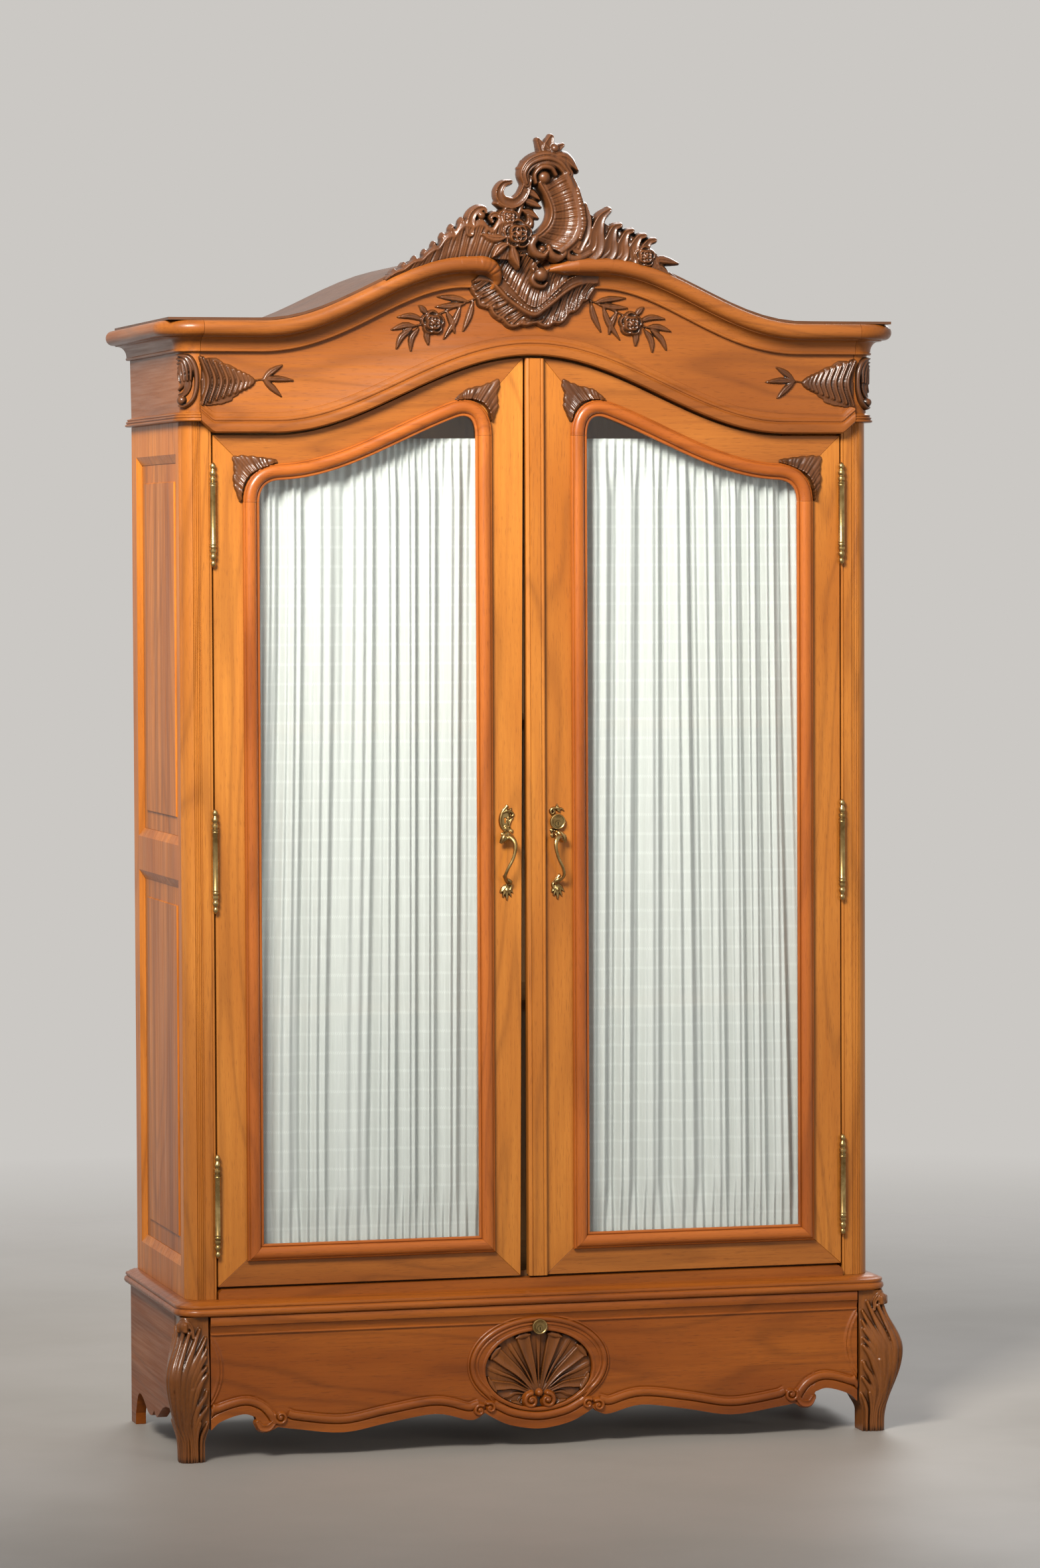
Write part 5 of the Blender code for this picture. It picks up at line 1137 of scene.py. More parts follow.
def shell_ray(turn, share):
    """Place at a share of the way from the hub to the edge."""
    return np.array(SHELL_HUB) + np.array((math.sin(turn), math.cos(turn))) * share * shell_reach(turn)


def shell_rib(turn, end):
    """Bent line from near the hub to a share of the way to the edge."""
    return [shell_ray(bend * turn, share) for bend, share in ((0.66, 0.10), (0.86, 0.45), (0.96, 0.72),
                                                              (1.0, end))]


def carve_drawer_shell(material):
    """Shell in the drawer's oval: channelled ridges with turned lips, and hollow flutes between them."""
    r = Relief((-110.0, 72.0), (110.0, 228.0), 0.8)
    x, z = np.meshgrid(r.xs, r.zs)
    r.height = 4.0 + 3.0 * shell_dish(x, z) ** 4
    for k in range(SHELL_RIDGES + 1):
        turn = (k - SHELL_RIDGES / 2) * SHELL_STEP
        r.stroke(shell_rib(turn, 0.97), (1.4, 3.0, 5.6), (2.4, 3.0, 2.4), fluted_form, (7.0, 5.0, 5.5))
    for k in range(SHELL_RIDGES):
        turn = (k - (SHELL_RIDGES - 1) / 2) * SHELL_STEP
        reach = shell_reach(turn)
        widths = (2.4, 0.042 * reach, 0.075 * reach, 0.105 * reach)
        r.stroke(shell_rib(turn, 0.92), widths, (4.0, 6.5, 7.5, 7.0), hollow_form, (7.5, 6.5, 6.0, 6.5))
        lip = [shell_ray(turn + swing, 0.95) for swing in (-0.11, -0.04, 0.04, 0.11)]
        r.stroke(lip, (2.5, 5.6, 5.6, 2.5), 4.0, base=9.5)
    r.height = np.where(shell_dish(x, z) < 0.998, r.height, -20.0)
    carving("drawer_shell", r, SHELL_DEPTH, material, "drawer", back=0.5)


# Front legs

LEG_INNER, LEG_OUTER = 0.6445, 0.692
LEG_TOP = 0.2752
LEG_BACK = DRAWER_DEPTH + 0.078
LEG_CORNER = 0.018
LEG_FOOT, KNEE, LEG_NECK = 0.018, 0.160, 0.2555
FOOT_BULGE, KNEE_BULGE = 0.006, 0.034
NECK_SHARE = 0.85
SIDE_BULGE = 0.35
ANKLE, ANKLE_RISE = 0.072, 0.036
ANKLE_IN, ANKLE_FORWARD = 0.008, 0.030
LEG_COLUMNS, LEG_LEVELS = 190, 240
LEAF_SUNK = 2.0


def leg_bulge(z):
    """How far the leg's corner swells out at a height."""
    if z < KNEE:
        return FOOT_BULGE + (KNEE_BULGE - FOOT_BULGE) * swell((z - LEG_FOOT) / (KNEE - LEG_FOOT))
    return KNEE_BULGE * (1.0 - NECK_SHARE * swell((z - KNEE) / (LEG_NECK - KNEE)))


def leg_ring(z):
    """Outline of the leg at a height, from its inner front edge round the corner to its outer back edge, and
    the point at the back that closes it."""
    narrow = swell((ANKLE - z) / ANKLE_RISE)
    bulge = leg_bulge(z)
    inner = LEG_INNER + ANKLE_IN * narrow
    rear = LEG_BACK - ANKLE_FORWARD * narrow
    outer, front = LEG_OUTER + bulge, DRAWER_DEPTH - bulge
    corner = [(outer - LEG_CORNER * (1 - math.sin(a)), front + LEG_CORNER * (1 - math.cos(a)))
              for a in np.linspace(0.0, math.pi / 2, 9)]
    path = [(inner, DRAWER_DEPTH - SIDE_BULGE * bulge), *corner, (LEG_OUTER + SIDE_BULGE * bulge, rear)]
    return resampled(np.array(path), LEG_COLUMNS), (inner, rear)


LEG_PLACES = 130.0
LEAF_MIDDLE = 60.0
LEAF_RIBS = (
    ([(62, -4), (61, 53), (58, 98), (56, 150), (55, 193), (52, 226), (49, 246)],
     (4.1, 4.2, 4.4, 4.8, 5.0, 4.6)),
    ([(54, -4), (52, 53), (50, 98), (47, 140), (46, 186), (43, 222), (38, 246)],
     (4.0, 4.1, 4.2, 4.6, 5.2, 4.0)),
    ([(46, -4), (45, 53), (42, 98), (39, 150), (34, 190), (26, 228), (18, 252)],
     (3.9, 4.0, 4.1, 4.8, 6.2, 3.6)),
    ([(39, -4), (38, 50), (36, 98), (31, 158), (22, 194), (12, 222), (6, 236)],
     (3.6, 3.8, 4.0, 5.0, 6.2, 3.2)),
    ([(34, 60), (31, 110), (27, 152), (18, 184), (10, 204), (5, 217)], (2.0, 3.6, 4.8, 5.4, 2.8)),
    ([(29, 120), (25, 152), (16, 180), (6, 201)], (2.4, 4.2, 4.6, 2.6)),
    ([(27, 125), (22, 148), (14, 168), (5, 183)], (2.4, 4.2, 4.6, 2.6)),
    ([(30, -4), (35, 71), (27, 106), (19, 134), (12, 154), (4, 169)], (2.8, 3.8, 4.6, 5.4, 3.4)),
    ([(35, -4), (39, 62), (33, 98), (29, 124), (26, 141)], (2.4, 3.4, 4.6, 5.4, 4.4)),
    ([(25, -4), (28, 44), (25, 82), (17, 106), (8, 124), (4, 137)], (2.8, 3.6, 4.4, 5.0, 3.0)),
    ([(24, 30), (26, 58), (20, 78), (10, 96), (4, 106)], (2.4, 4.4, 5.0, 2.8)),
    ([(21, -4), (22, 36), (21, 58), (17, 76)], (3.4, 4.2, 4.6, 3.0)),
    ([(11, -4), (11, 36), (9, 58), (3, 74)], (5.0, 5.4, 5.4, 3.0)),
)


def carve_leg(name, side, material):
    """Cabriole leg with a long acanthus leaf that wraps its corner, and a knob above it."""
    r = Relief((-6.0, -4.0), (136.0, 282.0), 0.8)
    r.height[:] = 0.0
    for line, widths in LEAF_RIBS:
        for points in (line, [(2.0 * LEAF_MIDDLE - p, z) for p, z in line]):
            r.stroke(points, widths, (4.4, 4.8, 5.2, 5.6, 6.2), base=(0.0, 0.0, 0.4, 1.2))
    r.ball((50, 258), 13, -1.0)
    r.stroke([(30, 238), (34, 256), (50, 270), (66, 256), (68, 238)],
             (3.0, 4.4, 4.4, 3.0), 4.6, hollow_form, 2.0)
    for place in (44, 56):
        r.stroke([(place, 250), (place, 262)], 3.4, 4.0, base=8.0)
    r.soften()
    place = np.linspace(0.0, LEG_PLACES, LEG_COLUMNS)
    edge_fade = np.minimum(1.0, np.minimum(place, LEG_PLACES - place) / 6.0)
    rings = []
    for z in np.linspace(0.0, LEG_TOP, LEG_LEVELS):
        shown, rear = leg_ring(z)
        step = np.gradient(shown, axis=0)
        normal = np.stack([step[:, 1], -step[:, 0]], axis=1) / np.linalg.norm(step, axis=1)[:, None]
        fade = edge_fade * min(1.0, (LEG_TOP - z) / 0.012 + 0.2)
        lift = (r.at(place, np.full(LEG_COLUMNS, z / MM)) - LEAF_SUNK) * MM * fade
        rings.append([(x, y, z) for x, y in (*(shown + normal * lift[:, None]), rear)])
    points, faces = mirrored(*loft(rings), side)
    piece(f"{name}_front_leg", points, faces, material, "carcass", [f"front_leg_{name}"], "carved_walnut")


# Joinery: sizes taken from the frame, in metres, with depths behind the door faces

FIT = 0.0003
SIDE_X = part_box("side_frame_right")[1].x
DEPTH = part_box("side_frame_right")[1].y - FACE_Y
BAND_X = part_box("frieze_front")[1].x + FIT
POST_INNER_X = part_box("corner_post_right")[0].x
POST_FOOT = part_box("corner_post_right")[0].z
POST_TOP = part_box("corner_post_right")[1].z + FIT
POST_RADIUS = SIDE_X - BAND_X
CORNICE_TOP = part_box("hood_side_right")[1].z
CORNICE_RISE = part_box("cornice_front")[1].z - CORNICE_TOP
CORNICE_HEIGHT = 0.0585
CORNICE_CUTS = (-0.110, 0.095)
CORNICE_STEP = 0.006
BEHIND_SHELL = 0.04
FRIEZE_BACK = 0.024
HOOD_INSET = 0.022
SHOULDER_X = 0.6195
SHOULDER_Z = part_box("frieze_front")[0].z
SHOULDER_DROP = POST_TOP - SHOULDER_Z
SHOULDER_FALL = SHOULDER_DROP / (BAND_X - SHOULDER_X)
ARCH_HALF, ARCH_RISE = 0.505, 0.148
CORNICE_SPRING, CORNICE_CROWN = 0.530, 0.130


def door_arch(x):
    """Lower edge of the frieze, with the mitred shoulder beside each post."""
    shoulder = max(0.0, abs(x) - SHOULDER_X) * SHOULDER_FALL
    return SHOULDER_Z + ARCH_RISE * swell(1.0 - abs(x) / ARCH_HALF) + shoulder


def cornice_arch(x):
    """Upper edge of the cornice."""
    return CORNICE_TOP + CORNICE_RISE * swell((CORNICE_SPRING - abs(x)) / (CORNICE_SPRING - CORNICE_CROWN))


def slope(curve, x):
    return (curve(x + 0.001) - curve(x - 0.001)) / 0.002


def steepness(curve, x):
    """How much taller a moulding stands on a sloping curve than on a level one."""
    return math.hypot(1.0, slope(curve, x))


def arc(centre, radius, start, end, count):
    """Points on part of a circle, with angles in degrees."""
    angles = np.radians(np.linspace(start, end, count))
    return [(centre[0] + radius * math.cos(a), centre[1] + radius * math.sin(a)) for a in angles]


# Mouldings as (reach, rise) in mm
FRIEZE_FOOT = ((9, 0), (12.3, 2.6), (13, 7), (12.8, 12.5), (11.4, 17), (8.4, 20), (7.4, 20.6), (7.4, 22.2),
               (8.9, 23.2), (9.4, 25), (8.9, 26.8), (7.2, 28.4), (5.4, 31), (4.2, 34.5), (3.4, 38),
               (1.0, 38.6), (0, 40))
BLOCK_FOOT = ((9, 0), (12.4, 1.2), (13, 3), (12.2, 4.8), (9.4, 5.8), (9.4, 6.6), (10.8, 7.4), (11.2, 8.8),
              (10.4, 10.2), (7.6, 11), (7.6, 11.8), (8.6, 12.6), (8.8, 13.8), (8, 15), (4, 15.8), (1.2, 17),
              (0, 18))
CORNICE_FOOT = ((2, -58.5), (9, -58), (10.5, -56.5), (10.5, -54), (9, -52.5))
CORNICE_HOLLOW = [(27 - 18 * math.cos(a), -52 + 21 * math.sin(a)) for a in np.linspace(0.0, math.pi / 2, 8)]
CORNICE_ROUND = arc((35.5, -14.5), 14.5, -90, 90, 15)
CORNICE_PROFILE = (*CORNICE_FOOT, *CORNICE_HOLLOW, (31, -31), (31, -29.6), *CORNICE_ROUND)


def hood_front(frieze, cornice):
    """Arched frieze board, and the cornice in three lengths: the middle one lies flat behind the shell."""
    edge = BAND_X - FIT
    rings = []
    for x in np.linspace(-edge, edge, 241):
        low = door_arch(x)
        tall = steepness(door_arch, x) if abs(x) < ARCH_HALF else 1.0
        top = cornice_arch(x) - CORNICE_HEIGHT * steepness(cornice_arch, x) - FIT
        face = [(x, FRIEZE_DEPTH - reach * MM, low + rise * MM * tall) for reach, rise in FRIEZE_FOOT]
        rings.append([(x, FRIEZE_BACK, low), *face, (x, FRIEZE_DEPTH, top), (x, FRIEZE_BACK, top)])
    lofted("frieze_board", rings, frieze, "carcass", ["frieze_front"])
    left, right = CORNICE_CUTS
    lengths = (("left", -edge, left, 1.0), ("middle", left, right, BEHIND_SHELL), ("right", right, edge, 1.0))
    for name, start, end, reached in lengths:
        rings = []
        for x in np.linspace(start, end, 2 + int((end - start) / CORNICE_STEP)):
            top, tall = cornice_arch(x), steepness(cornice_arch, x)
            face = [(x, FRIEZE_DEPTH - reached * reach * MM, top + rise * MM * tall)
                    for reach, rise in CORNICE_PROFILE]
            rings.append([*face, (x, FRIEZE_BACK, top), (x, FRIEZE_BACK, top - CORNICE_HEIGHT * tall)])
        lofted(f"cornice_{name}", rings, cornice, "carcass", ["cornice_front"])


def corner_line(front, corner_x, back, count):
    """Plan of a rounded corner and the side behind it, as places and outward directions."""
    r = POST_RADIUS
    line = []
    for a in np.radians(np.linspace(-90.0, 0.0, count)):
        out = (math.cos(a), math.sin(a))
        line.append(((corner_x - r + r * out[0], front + r + r * out[1]), out))
    line.append(((corner_x, back), (1.0, 0.0)))
    return line


def hood_return(name, side, material):
    """Corner and side of the hood: beads, plain block, neck and bullnose."""
    foot = [(reach * MM, POST_TOP + rise * MM) for reach, rise in BLOCK_FOOT]
    crown = [(reach * MM, CORNICE_TOP + rise * MM) for reach, rise in CORNICE_PROFILE]
    profile = [(-HOOD_INSET, POST_TOP), *foot, *crown, (-HOOD_INSET, CORNICE_TOP)]
    rings = [[(x + nx * reach, y + ny * reach, z) for reach, z in profile]
             for (x, y), (nx, ny) in corner_line(FRIEZE_DEPTH, SIDE_X, DEPTH, 25)]
    rings[0] = [(x + FIT, y, z) for x, y, z in rings[0]]
    lofted(f"{name}_hood_return", rings, material, "carcass", [f"hood_side_{name}"], side)


SCROLL_Z = (1982.0, 2089.0)
SCROLL_BACK = 3.0


def carve_hood_corner(name, side):
    """Acanthus scroll round the corner of the hood: a leaf that curls over at its top and ends in a ball."""
    arc_length = 0.5 * math.pi * POST_RADIUS / MM
    low, high = SCROLL_Z
    r = Relief((-1.0, low), (arc_length + 1.0, high), 0.8)
    r.stroke([(36, 2085), (18, 2080), (8, 2060), (6, 2030), (12, 2003), (26, 1989), (38, 1990)],
             (4, 5, 5, 4.5, 4, 4, 3), 9, base=1)
    for k in range(5):
        out = 6.5 * k
        ridge = [(45 - 0.2 * out, 2086 - 1.3 * out), (26 + 0.5 * out, 2080 - 0.8 * out),
                 (16 + out, 2062 - 0.5 * out), (15 + 0.9 * out, 2038 - 0.1 * out)]
        r.stroke(ridge, (3.4, 3.8, 3.6, 2.2), 8 - 0.6 * k, base=2)
    r.stroke([(20, 2044), (22, 2024), (30, 2012), (42, 2010)], (6, 7, 6, 3), 7, hollow_form, 1)
    r.stroke([(30, 2046), (33, 2028), (42, 2020)], (4, 5, 3), 6, base=1)
    r.ball((35, 2000), 9, 3)
    r.soften()
    columns, rows = 70, 134
    u, z = np.meshgrid(np.linspace(0.0, arc_length, columns), np.linspace(low + 1.0, high - 1.0, rows))
    inside = np.minimum.reduce([u - 1.0, arc_length - u, z - low - 1.0, high - 1.0 - z])
    fade = np.clip(inside / 2.0, 0.0, 1.0)
    lift = np.maximum(r.at(u, z), -0.5) * fade - 0.5 * (1.0 - fade)
    angle = u * MM / POST_RADIUS

    def wrapped(out):
        reach = POST_RADIUS + out * MM
        return np.stack([BAND_X + reach * np.sin(angle),
                         FACE_Y + FRIEZE_DEPTH + POST_RADIUS - reach * np.cos(angle), z * MM], axis=2)

    points, faces = mirrored(*closed_sheet(wrapped(lift), wrapped(np.full_like(lift, -SCROLL_BACK))), side)
    piece(f"{name}_hood_scroll", points, faces, CARVED, "carcass", slot="carved_walnut", outwards=True)


# Plan of the post's flat band in mm: places from its inner edge, and before the round, with their depths
POST_BAND = ((0.0, 1.0), (1.0, 0.0), (3.8, 0.0), (4.2, 1.6), (5.2, 1.6), (5.6, 0.0))
POST_QUIRK = ((2.6, 0.0), (2.2, 1.8), (0.6, 1.8))
REEDS, REED_DEPTH = 3, 0.0018
REED_START, REED_DEGREES = 3.0, 6.5


def post(name, side, material):
    """Corner post: a flat band, then a quarter round with three fine reeds on each side of a plain round."""
    plan = [(POST_INNER_X, POST_RADIUS)]
    plan += [(POST_INNER_X + x * MM, y * MM) for x, y in POST_BAND]
    plan += [(BAND_X - x * MM, y * MM) for x, y in POST_QUIRK]
    for degrees in np.linspace(0.0, 90.0, 145):
        reed = (min(degrees, 90.0 - degrees) - REED_START) / REED_DEGREES
        cut = REED_DEPTH * (1.0 - abs(math.sin(math.pi * reed))) if 0.0 <= reed <= REEDS else 0.0
        a = math.radians(degrees - 90.0)
        r = POST_RADIUS - cut
        plan.append((BAND_X + r * math.cos(a), POST_RADIUS + r * math.sin(a)))
    low = [(x, y, POST_FOOT) for x, y in plan]
    high = [(x, y, POST_TOP - FIT - max(0.0, BAND_X - x) * SHOULDER_FALL) for x, y in plan]
    lofted(f"{name}_reeded_post", [low, high], material, "carcass", [f"corner_post_{name}"], side, sharp=28.0)


PLINTH_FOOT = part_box("base_top_board")[0].z
PLINTH_TOP = POST_FOOT - FIT
BASE_SIDE_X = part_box("base_side_right")[1].x
PLINTH_RIM = 19.5
PLINTH_HOLLOW = 10.0
SILL_LAP = 0.004
SILL_EASE = 0.007
SILL_DEPTHS = (-0.008, 0.030)
FLOOR_DEPTHS = (0.026, DEPTH - 0.022)
FLOOR_HALF = POST_INNER_X - 0.010
PLINTH_PROFILE = ((7, 0), (10.5, 1.2), (12.6, 4.4), (13, 7.4), (12.4, 10.4), (10.2, 13.2), (8.4, 13.8),
                  (8.4, 15.4), (9.8, 16.2), (10.4, 18.4), (9.6, 20.8), (7.6, 22), (4, 22.6), (2, 24.2),
                  (-4, 26.2), (-7, 27.5))


def plinth(material, inner):
    """Moulding between the base and the doors, hollow underneath for the drawer lock's cam, with the sill and
    the floor that lie on it."""
    hollow = [(-PLINTH_RIM, rise, DEPTH - PLINTH_RIM * MM) for rise in (PLINTH_HOLLOW, 0.0)]
    rings = []
    for reach, rise, back in [*hollow, *[(reach, rise, DEPTH) for reach, rise in PLINTH_PROFILE]]:
        half = [(x + nx * reach * MM, y + ny * reach * MM, PLINTH_FOOT + rise * MM)
                for (x, y), (nx, ny) in corner_line(DRAWER_DEPTH, BASE_SIDE_X, back, 15)]
        rings.append([(-x, y, z) for x, y, z in reversed(half)] + half)
    lofted("plinth_moulding", rings, material, "carcass", ["base_top_board"])
    low, high, edge = PLINTH_TOP - SILL_LAP, DOOR_BOTTOM - DOOR_GAP, SHOULDER_X
    eased = [(edge, high - SILL_EASE), (edge - SILL_EASE, high)]
    sill = [(-edge, low), (edge, low), *eased, *[(-x, z) for x, z in reversed(eased)]]
    board_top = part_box("base_top_board")[1].z
    board = [(-FLOOR_HALF, low), (FLOOR_HALF, low), (FLOOR_HALF, board_top), (-FLOOR_HALF, board_top)]
    parts = (("sill", sill, SILL_DEPTHS, material, "walnut"),
             ("cupboard_floor", board, FLOOR_DEPTHS, inner, "inner_wood"))
    for name, outline, depths, look, slot in parts:
        rings = [[(x, y, z) for x, z in outline] for y in depths]
        lofted(name, rings, look, "carcass", ["base_top_board"], slot=slot)


# Doors

REBATE = 0.012
DOOR_GAP = 0.004
DOOR_THICKNESS = 0.024
DOOR_OUTER_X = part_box("right_door_frame")[1].x
DOOR_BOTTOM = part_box("right_door_frame")[0].z
GLASS_X = (0.110, 0.5305)
GLASS_BOTTOM = 0.406
GLASS_DROP = 0.089
GLASS_CORNER = 0.040
BEAD_JOINT = 0.0002
BEAD_SECTION = ((0, 0.3), (0, 4.6), (1.2, 6.0), (3.6, 6.4), (4.8, 5.6), (5.0, 4.6), (5.8, 4.6), (6.2, 7.4),
                (8, 10.6), (11, 13.2), (15, 14.7), (19, 15), (23, 14.1), (26, 12.2), (27.6, 10.4),
                (27.9, 8.8), (28.7, 8.8), (29.2, 9.6), (30.8, 8.6), (32, 5.8), (32, 0.3))


def rounded(start, control, end, count):
    """Points along a rounded corner."""
    t = np.linspace(0.0, 1.0, count)[:, None]
    a, b, c = (np.array(p) for p in (start, control, end))
    return (1 - t) ** 2 * a + 2 * t * (1 - t) * b + t * t * c


def glass_lengths():
    """Edge of the glass of the right door: foot, hinge side, arched head and meeting side."""
    x0, x1 = GLASS_X
    r = GLASS_CORNER

    def top(x):
        return door_arch(x) - GLASS_DROP

    outer_z = top(x1 - r) + slope(top, x1 - r) * r
    inner_z = top(x0 + r) - slope(top, x0 + r) * r
    head = [(x, top(x)) for x in np.linspace(x1 - r, x0 + r, 70)]
    head = np.vstack([rounded((x1, outer_z - r), (x1, outer_z), head[0], 17)[:-1], head,
                      rounded(head[-1], (x0, inner_z), (x0, inner_z - 1.2 * r), 19)[1:]])
    foot = np.array([(x0, GLASS_BOTTOM), (x1, GLASS_BOTTOM)])
    return foot, np.vstack([foot[1], head[0]]), head, np.vstack([head[-1], foot[0]])


def outwards_of(line):
    """Mitred outward step for each point of a closed anticlockwise outline."""
    ahead = np.roll(line, -1, axis=0) - line
    ahead /= np.linalg.norm(ahead, axis=1)[:, None]
    behind = np.roll(ahead, 1, axis=0)
    n1 = np.stack([behind[:, 1], -behind[:, 0]], axis=1)
    n2 = np.stack([ahead[:, 1], -ahead[:, 0]], axis=1)
    return (n1 + n2) / (1.0 + (n1 * n2).sum(1))[:, None]


def glazing_bead(name, side, across, upright):
    """Moulding round the glass in four lengths, mitred at the foot and butted below the arched head."""
    lengths = glass_lengths()
    outline = np.vstack([line[:-1] for line in lengths])
    steps = outwards_of(outline)
    start = 0
    for part, line, material in zip(("foot", "hinge_side", "head", "meeting_side"), lengths,
                                    (across, upright, across, upright)):
        count = len(line)
        picked = np.arange(start, start + count) % len(outline)
        start += count - 1
        place = outline[picked].copy()
        tips = (place[1] - place[0], place[-2] - place[-1])
        for end, tip in zip((0, -1), tips):
            place[end] += BEAD_JOINT * tip / np.linalg.norm(tip)
        rings = [[(p[0] + n[0] * out * MM, -rise * MM, p[1] + n[1] * out * MM) for out, rise in BEAD_SECTION]
                 for p, n in zip(place, steps[picked])]
        lofted(f"{name}_bead_{part}", rings, material, f"{name}_door", [f"{name}_glazing_bead"], side)


# Insets and depths of a board's edge, from its back to its eased front
BOARD_EDGE = ((0.00015, DOOR_THICKNESS), (0.00015, 0.0006), (0.0007, 0.0))


def slab(name, outline, material, body, stands_for, side):
    """Flat board of the door's thickness with its front edges eased. The outline runs anticlockwise."""
    line = np.array(outline)
    step = outwards_of(line)
    rings = [[(x, depth, z) for x, z in line - inset * step] for inset, depth in BOARD_EDGE]
    lofted(name, rings, material, body, stands_for, side)


# Each door's free edge at its top and foot, and the seam of its meeting stile with the rails
MEETING_EDGE = {"left": (0.0145, 0.027, 0.0275), "right": (-0.0095, -0.0095, 0.0245)}
SEAM_JOINT = 0.0005
OUTER_TURN, INNER_TURN = 8, -10


def door_boards(name, side, woods):
    """Stiles and rails of a door, mitred at the corners."""
    foot, hinge_side, head, meeting_side = glass_lengths()
    outline = np.vstack([foot[:-1], hinge_side[:-1], head[:-1], meeting_side[:-1]])
    opening = outline + REBATE * outwards_of(outline)
    low_inner, low_outer = opening[0], opening[1]
    head = opening[2:2 + len(head)]
    outer_turn, inner_turn = OUTER_TURN, len(head) + INNER_TURN
    meeting_top, meeting_low, seam = MEETING_EDGE[name]
    seam_top = seam if side > 0 else meeting_top + SEAM_JOINT
    arch = [(x, door_arch(x) - DOOR_GAP) for x in np.linspace(DOOR_OUTER_X, seam_top, 90)]
    hinge_foot = (DOOR_OUTER_X, DOOR_BOTTOM)
    hinge_stile = [hinge_foot, arch[0], *head[outer_turn::-1], low_outer]
    top_rail = [arch[0], *arch[1:], *head[inner_turn:outer_turn - 1:-1]]
    low_seam = (seam, DOOR_BOTTOM)
    meeting_stile = [low_seam, low_inner, *head[:inner_turn - 1:-1], arch[-1],
                     (meeting_top, door_arch(meeting_top) - DOOR_GAP), (meeting_low, DOOR_BOTTOM)]
    bottom_rail = [low_seam, hinge_foot, low_outer, low_inner]
    boards = (("hinge_stile", hinge_stile), ("meeting_stile", meeting_stile), ("top_rail", top_rail),
              ("bottom_rail", bottom_rail))
    for (part, line), material in zip(boards, woods):
        slab(f"{name}_{part}", line, material, f"{name}_door", [f"{name}_door_frame"], side)


def astragal(material):
    """Strip over the joint of the doors: chamfer, groove, flat face and a bright bead."""
    plan = [(-12.5, 0.3), (-12.5, 7.6), (-9.5, 10.4), (-6.2, 11), (-5.6, 9.4), (-4.6, 9.4), (-4, 11),
            (15.8, 11), (16.6, 9), (17.4, 9), *arc((20.8, 7.4), 3.4, 150, 0, 9), (24.5, 6.6), (24.5, 0.3)]
    rings = [[(x * MM, -rise * MM, DOOR_BOTTOM) for x, rise in plan],
             [(x * MM, -rise * MM, door_arch(x * MM) - DOOR_GAP - 0.001) for x, rise in plan]]
    lofted("meeting_strip", rings, material, "right_door", ["meeting_astragal"])


# Brass

HINGE_RADIUS = 0.0062
HINGE_DEPTH = -0.00724
HINGE_FINIAL = 0.042
HINGE_PIN = 0.030
LEAF_HALF, LEAF_GAP = 0.0009, 0.004
LEAF_DEPTHS = (HINGE_DEPTH + 0.0043, 0.0189)
FINIAL = ((1.0, 0.0), (1.12, 0.03), (1.12, 0.09), (0.84, 0.11), (0.84, 0.15), (1.06, 0.18), (1.1, 0.25),
          (1.02, 0.31), (0.80, 0.34), (0.80, 0.40), (1.0, 0.44), (1.06, 0.51), (0.98, 0.58), (0.70, 0.64),
          (0.60, 0.70), (0.78, 0.74), (0.90, 0.80), (0.84, 0.87), (0.58, 0.94), (0.26, 0.985), (0.04, 1.0))


def hinge_half(node, body):
    """Turned knuckle with ringed finial, and the leaf let in beside it."""
    low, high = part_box(node)
    middle = 0.5 * (low.x + high.x)
    up = node.endswith("knuckle")
    start, end = (low.z, high.z) if up else (high.z - HINGE_PIN, low.z)
    way = 1.0 if up else -1.0
    knuckle = abs(end - start) - HINGE_FINIAL
    profile = [(0.6, 0.0), (1.0, 0.0), (1.0, knuckle - 0.004), (1.1, knuckle - 0.003), (1.1, knuckle - 0.001)]
    profile += [(radius, knuckle + rise * HINGE_FINIAL) for radius, rise in FINIAL]
    turn = np.linspace(0.0, 2.0 * math.pi, 24, endpoint=False)
    rings = [[(middle + HINGE_RADIUS * radius * math.cos(a),
               HINGE_DEPTH + HINGE_RADIUS * radius * math.sin(a), start + way * rise) for a in turn]
             for radius, rise in profile]
    lofted(f"{node}_turned", rings, BRASS, body, [node], slot="brass", sharp=35.0)
    front, back = LEAF_DEPTHS
    plan = [(-LEAF_HALF, front), (LEAF_HALF, front), (LEAF_HALF, back), (-LEAF_HALF, back)]
    levels = sorted((start + LEAF_GAP * way, start + (knuckle - LEAF_GAP) * way))
    rings = [[(middle + x, y, z) for x, y in plan] for z in levels]
    lofted(f"{node}_leaf", rings, BRASS, body, [node], slot="brass")


def tube(path, radii, flutes, depth, sides=18):
    """Rings round a path in (x, depth, z), with flutes along it."""
    line = smooth(path, 6)
    radius = ramp(np.linspace(0.0, 1.0, len(line)), radii)
    ahead = np.gradient(line, axis=0)
    ahead /= np.linalg.norm(ahead, axis=1)[:, None]
    across = np.array((1.0, 0.0, 0.0)) - ahead * ahead[:, :1]
    across /= np.linalg.norm(across, axis=1)[:, None]
    out = np.cross(ahead, across)
    turn = np.linspace(0.0, 2.0 * math.pi, sides, endpoint=False)
    cut = 1.0 - depth * (0.5 + 0.5 * np.cos(flutes * turn))
    rings = []
    for p, r, a, o in zip(line, radius, across, out):
        rings.append([p + r * c * (a * math.cos(t) + o * math.sin(t)) for t, c in zip(turn, cut)])
    return rings


HANDLE_X = {"left": -52.0, "right": 48.5}
HANDLE_WALL = 4.0
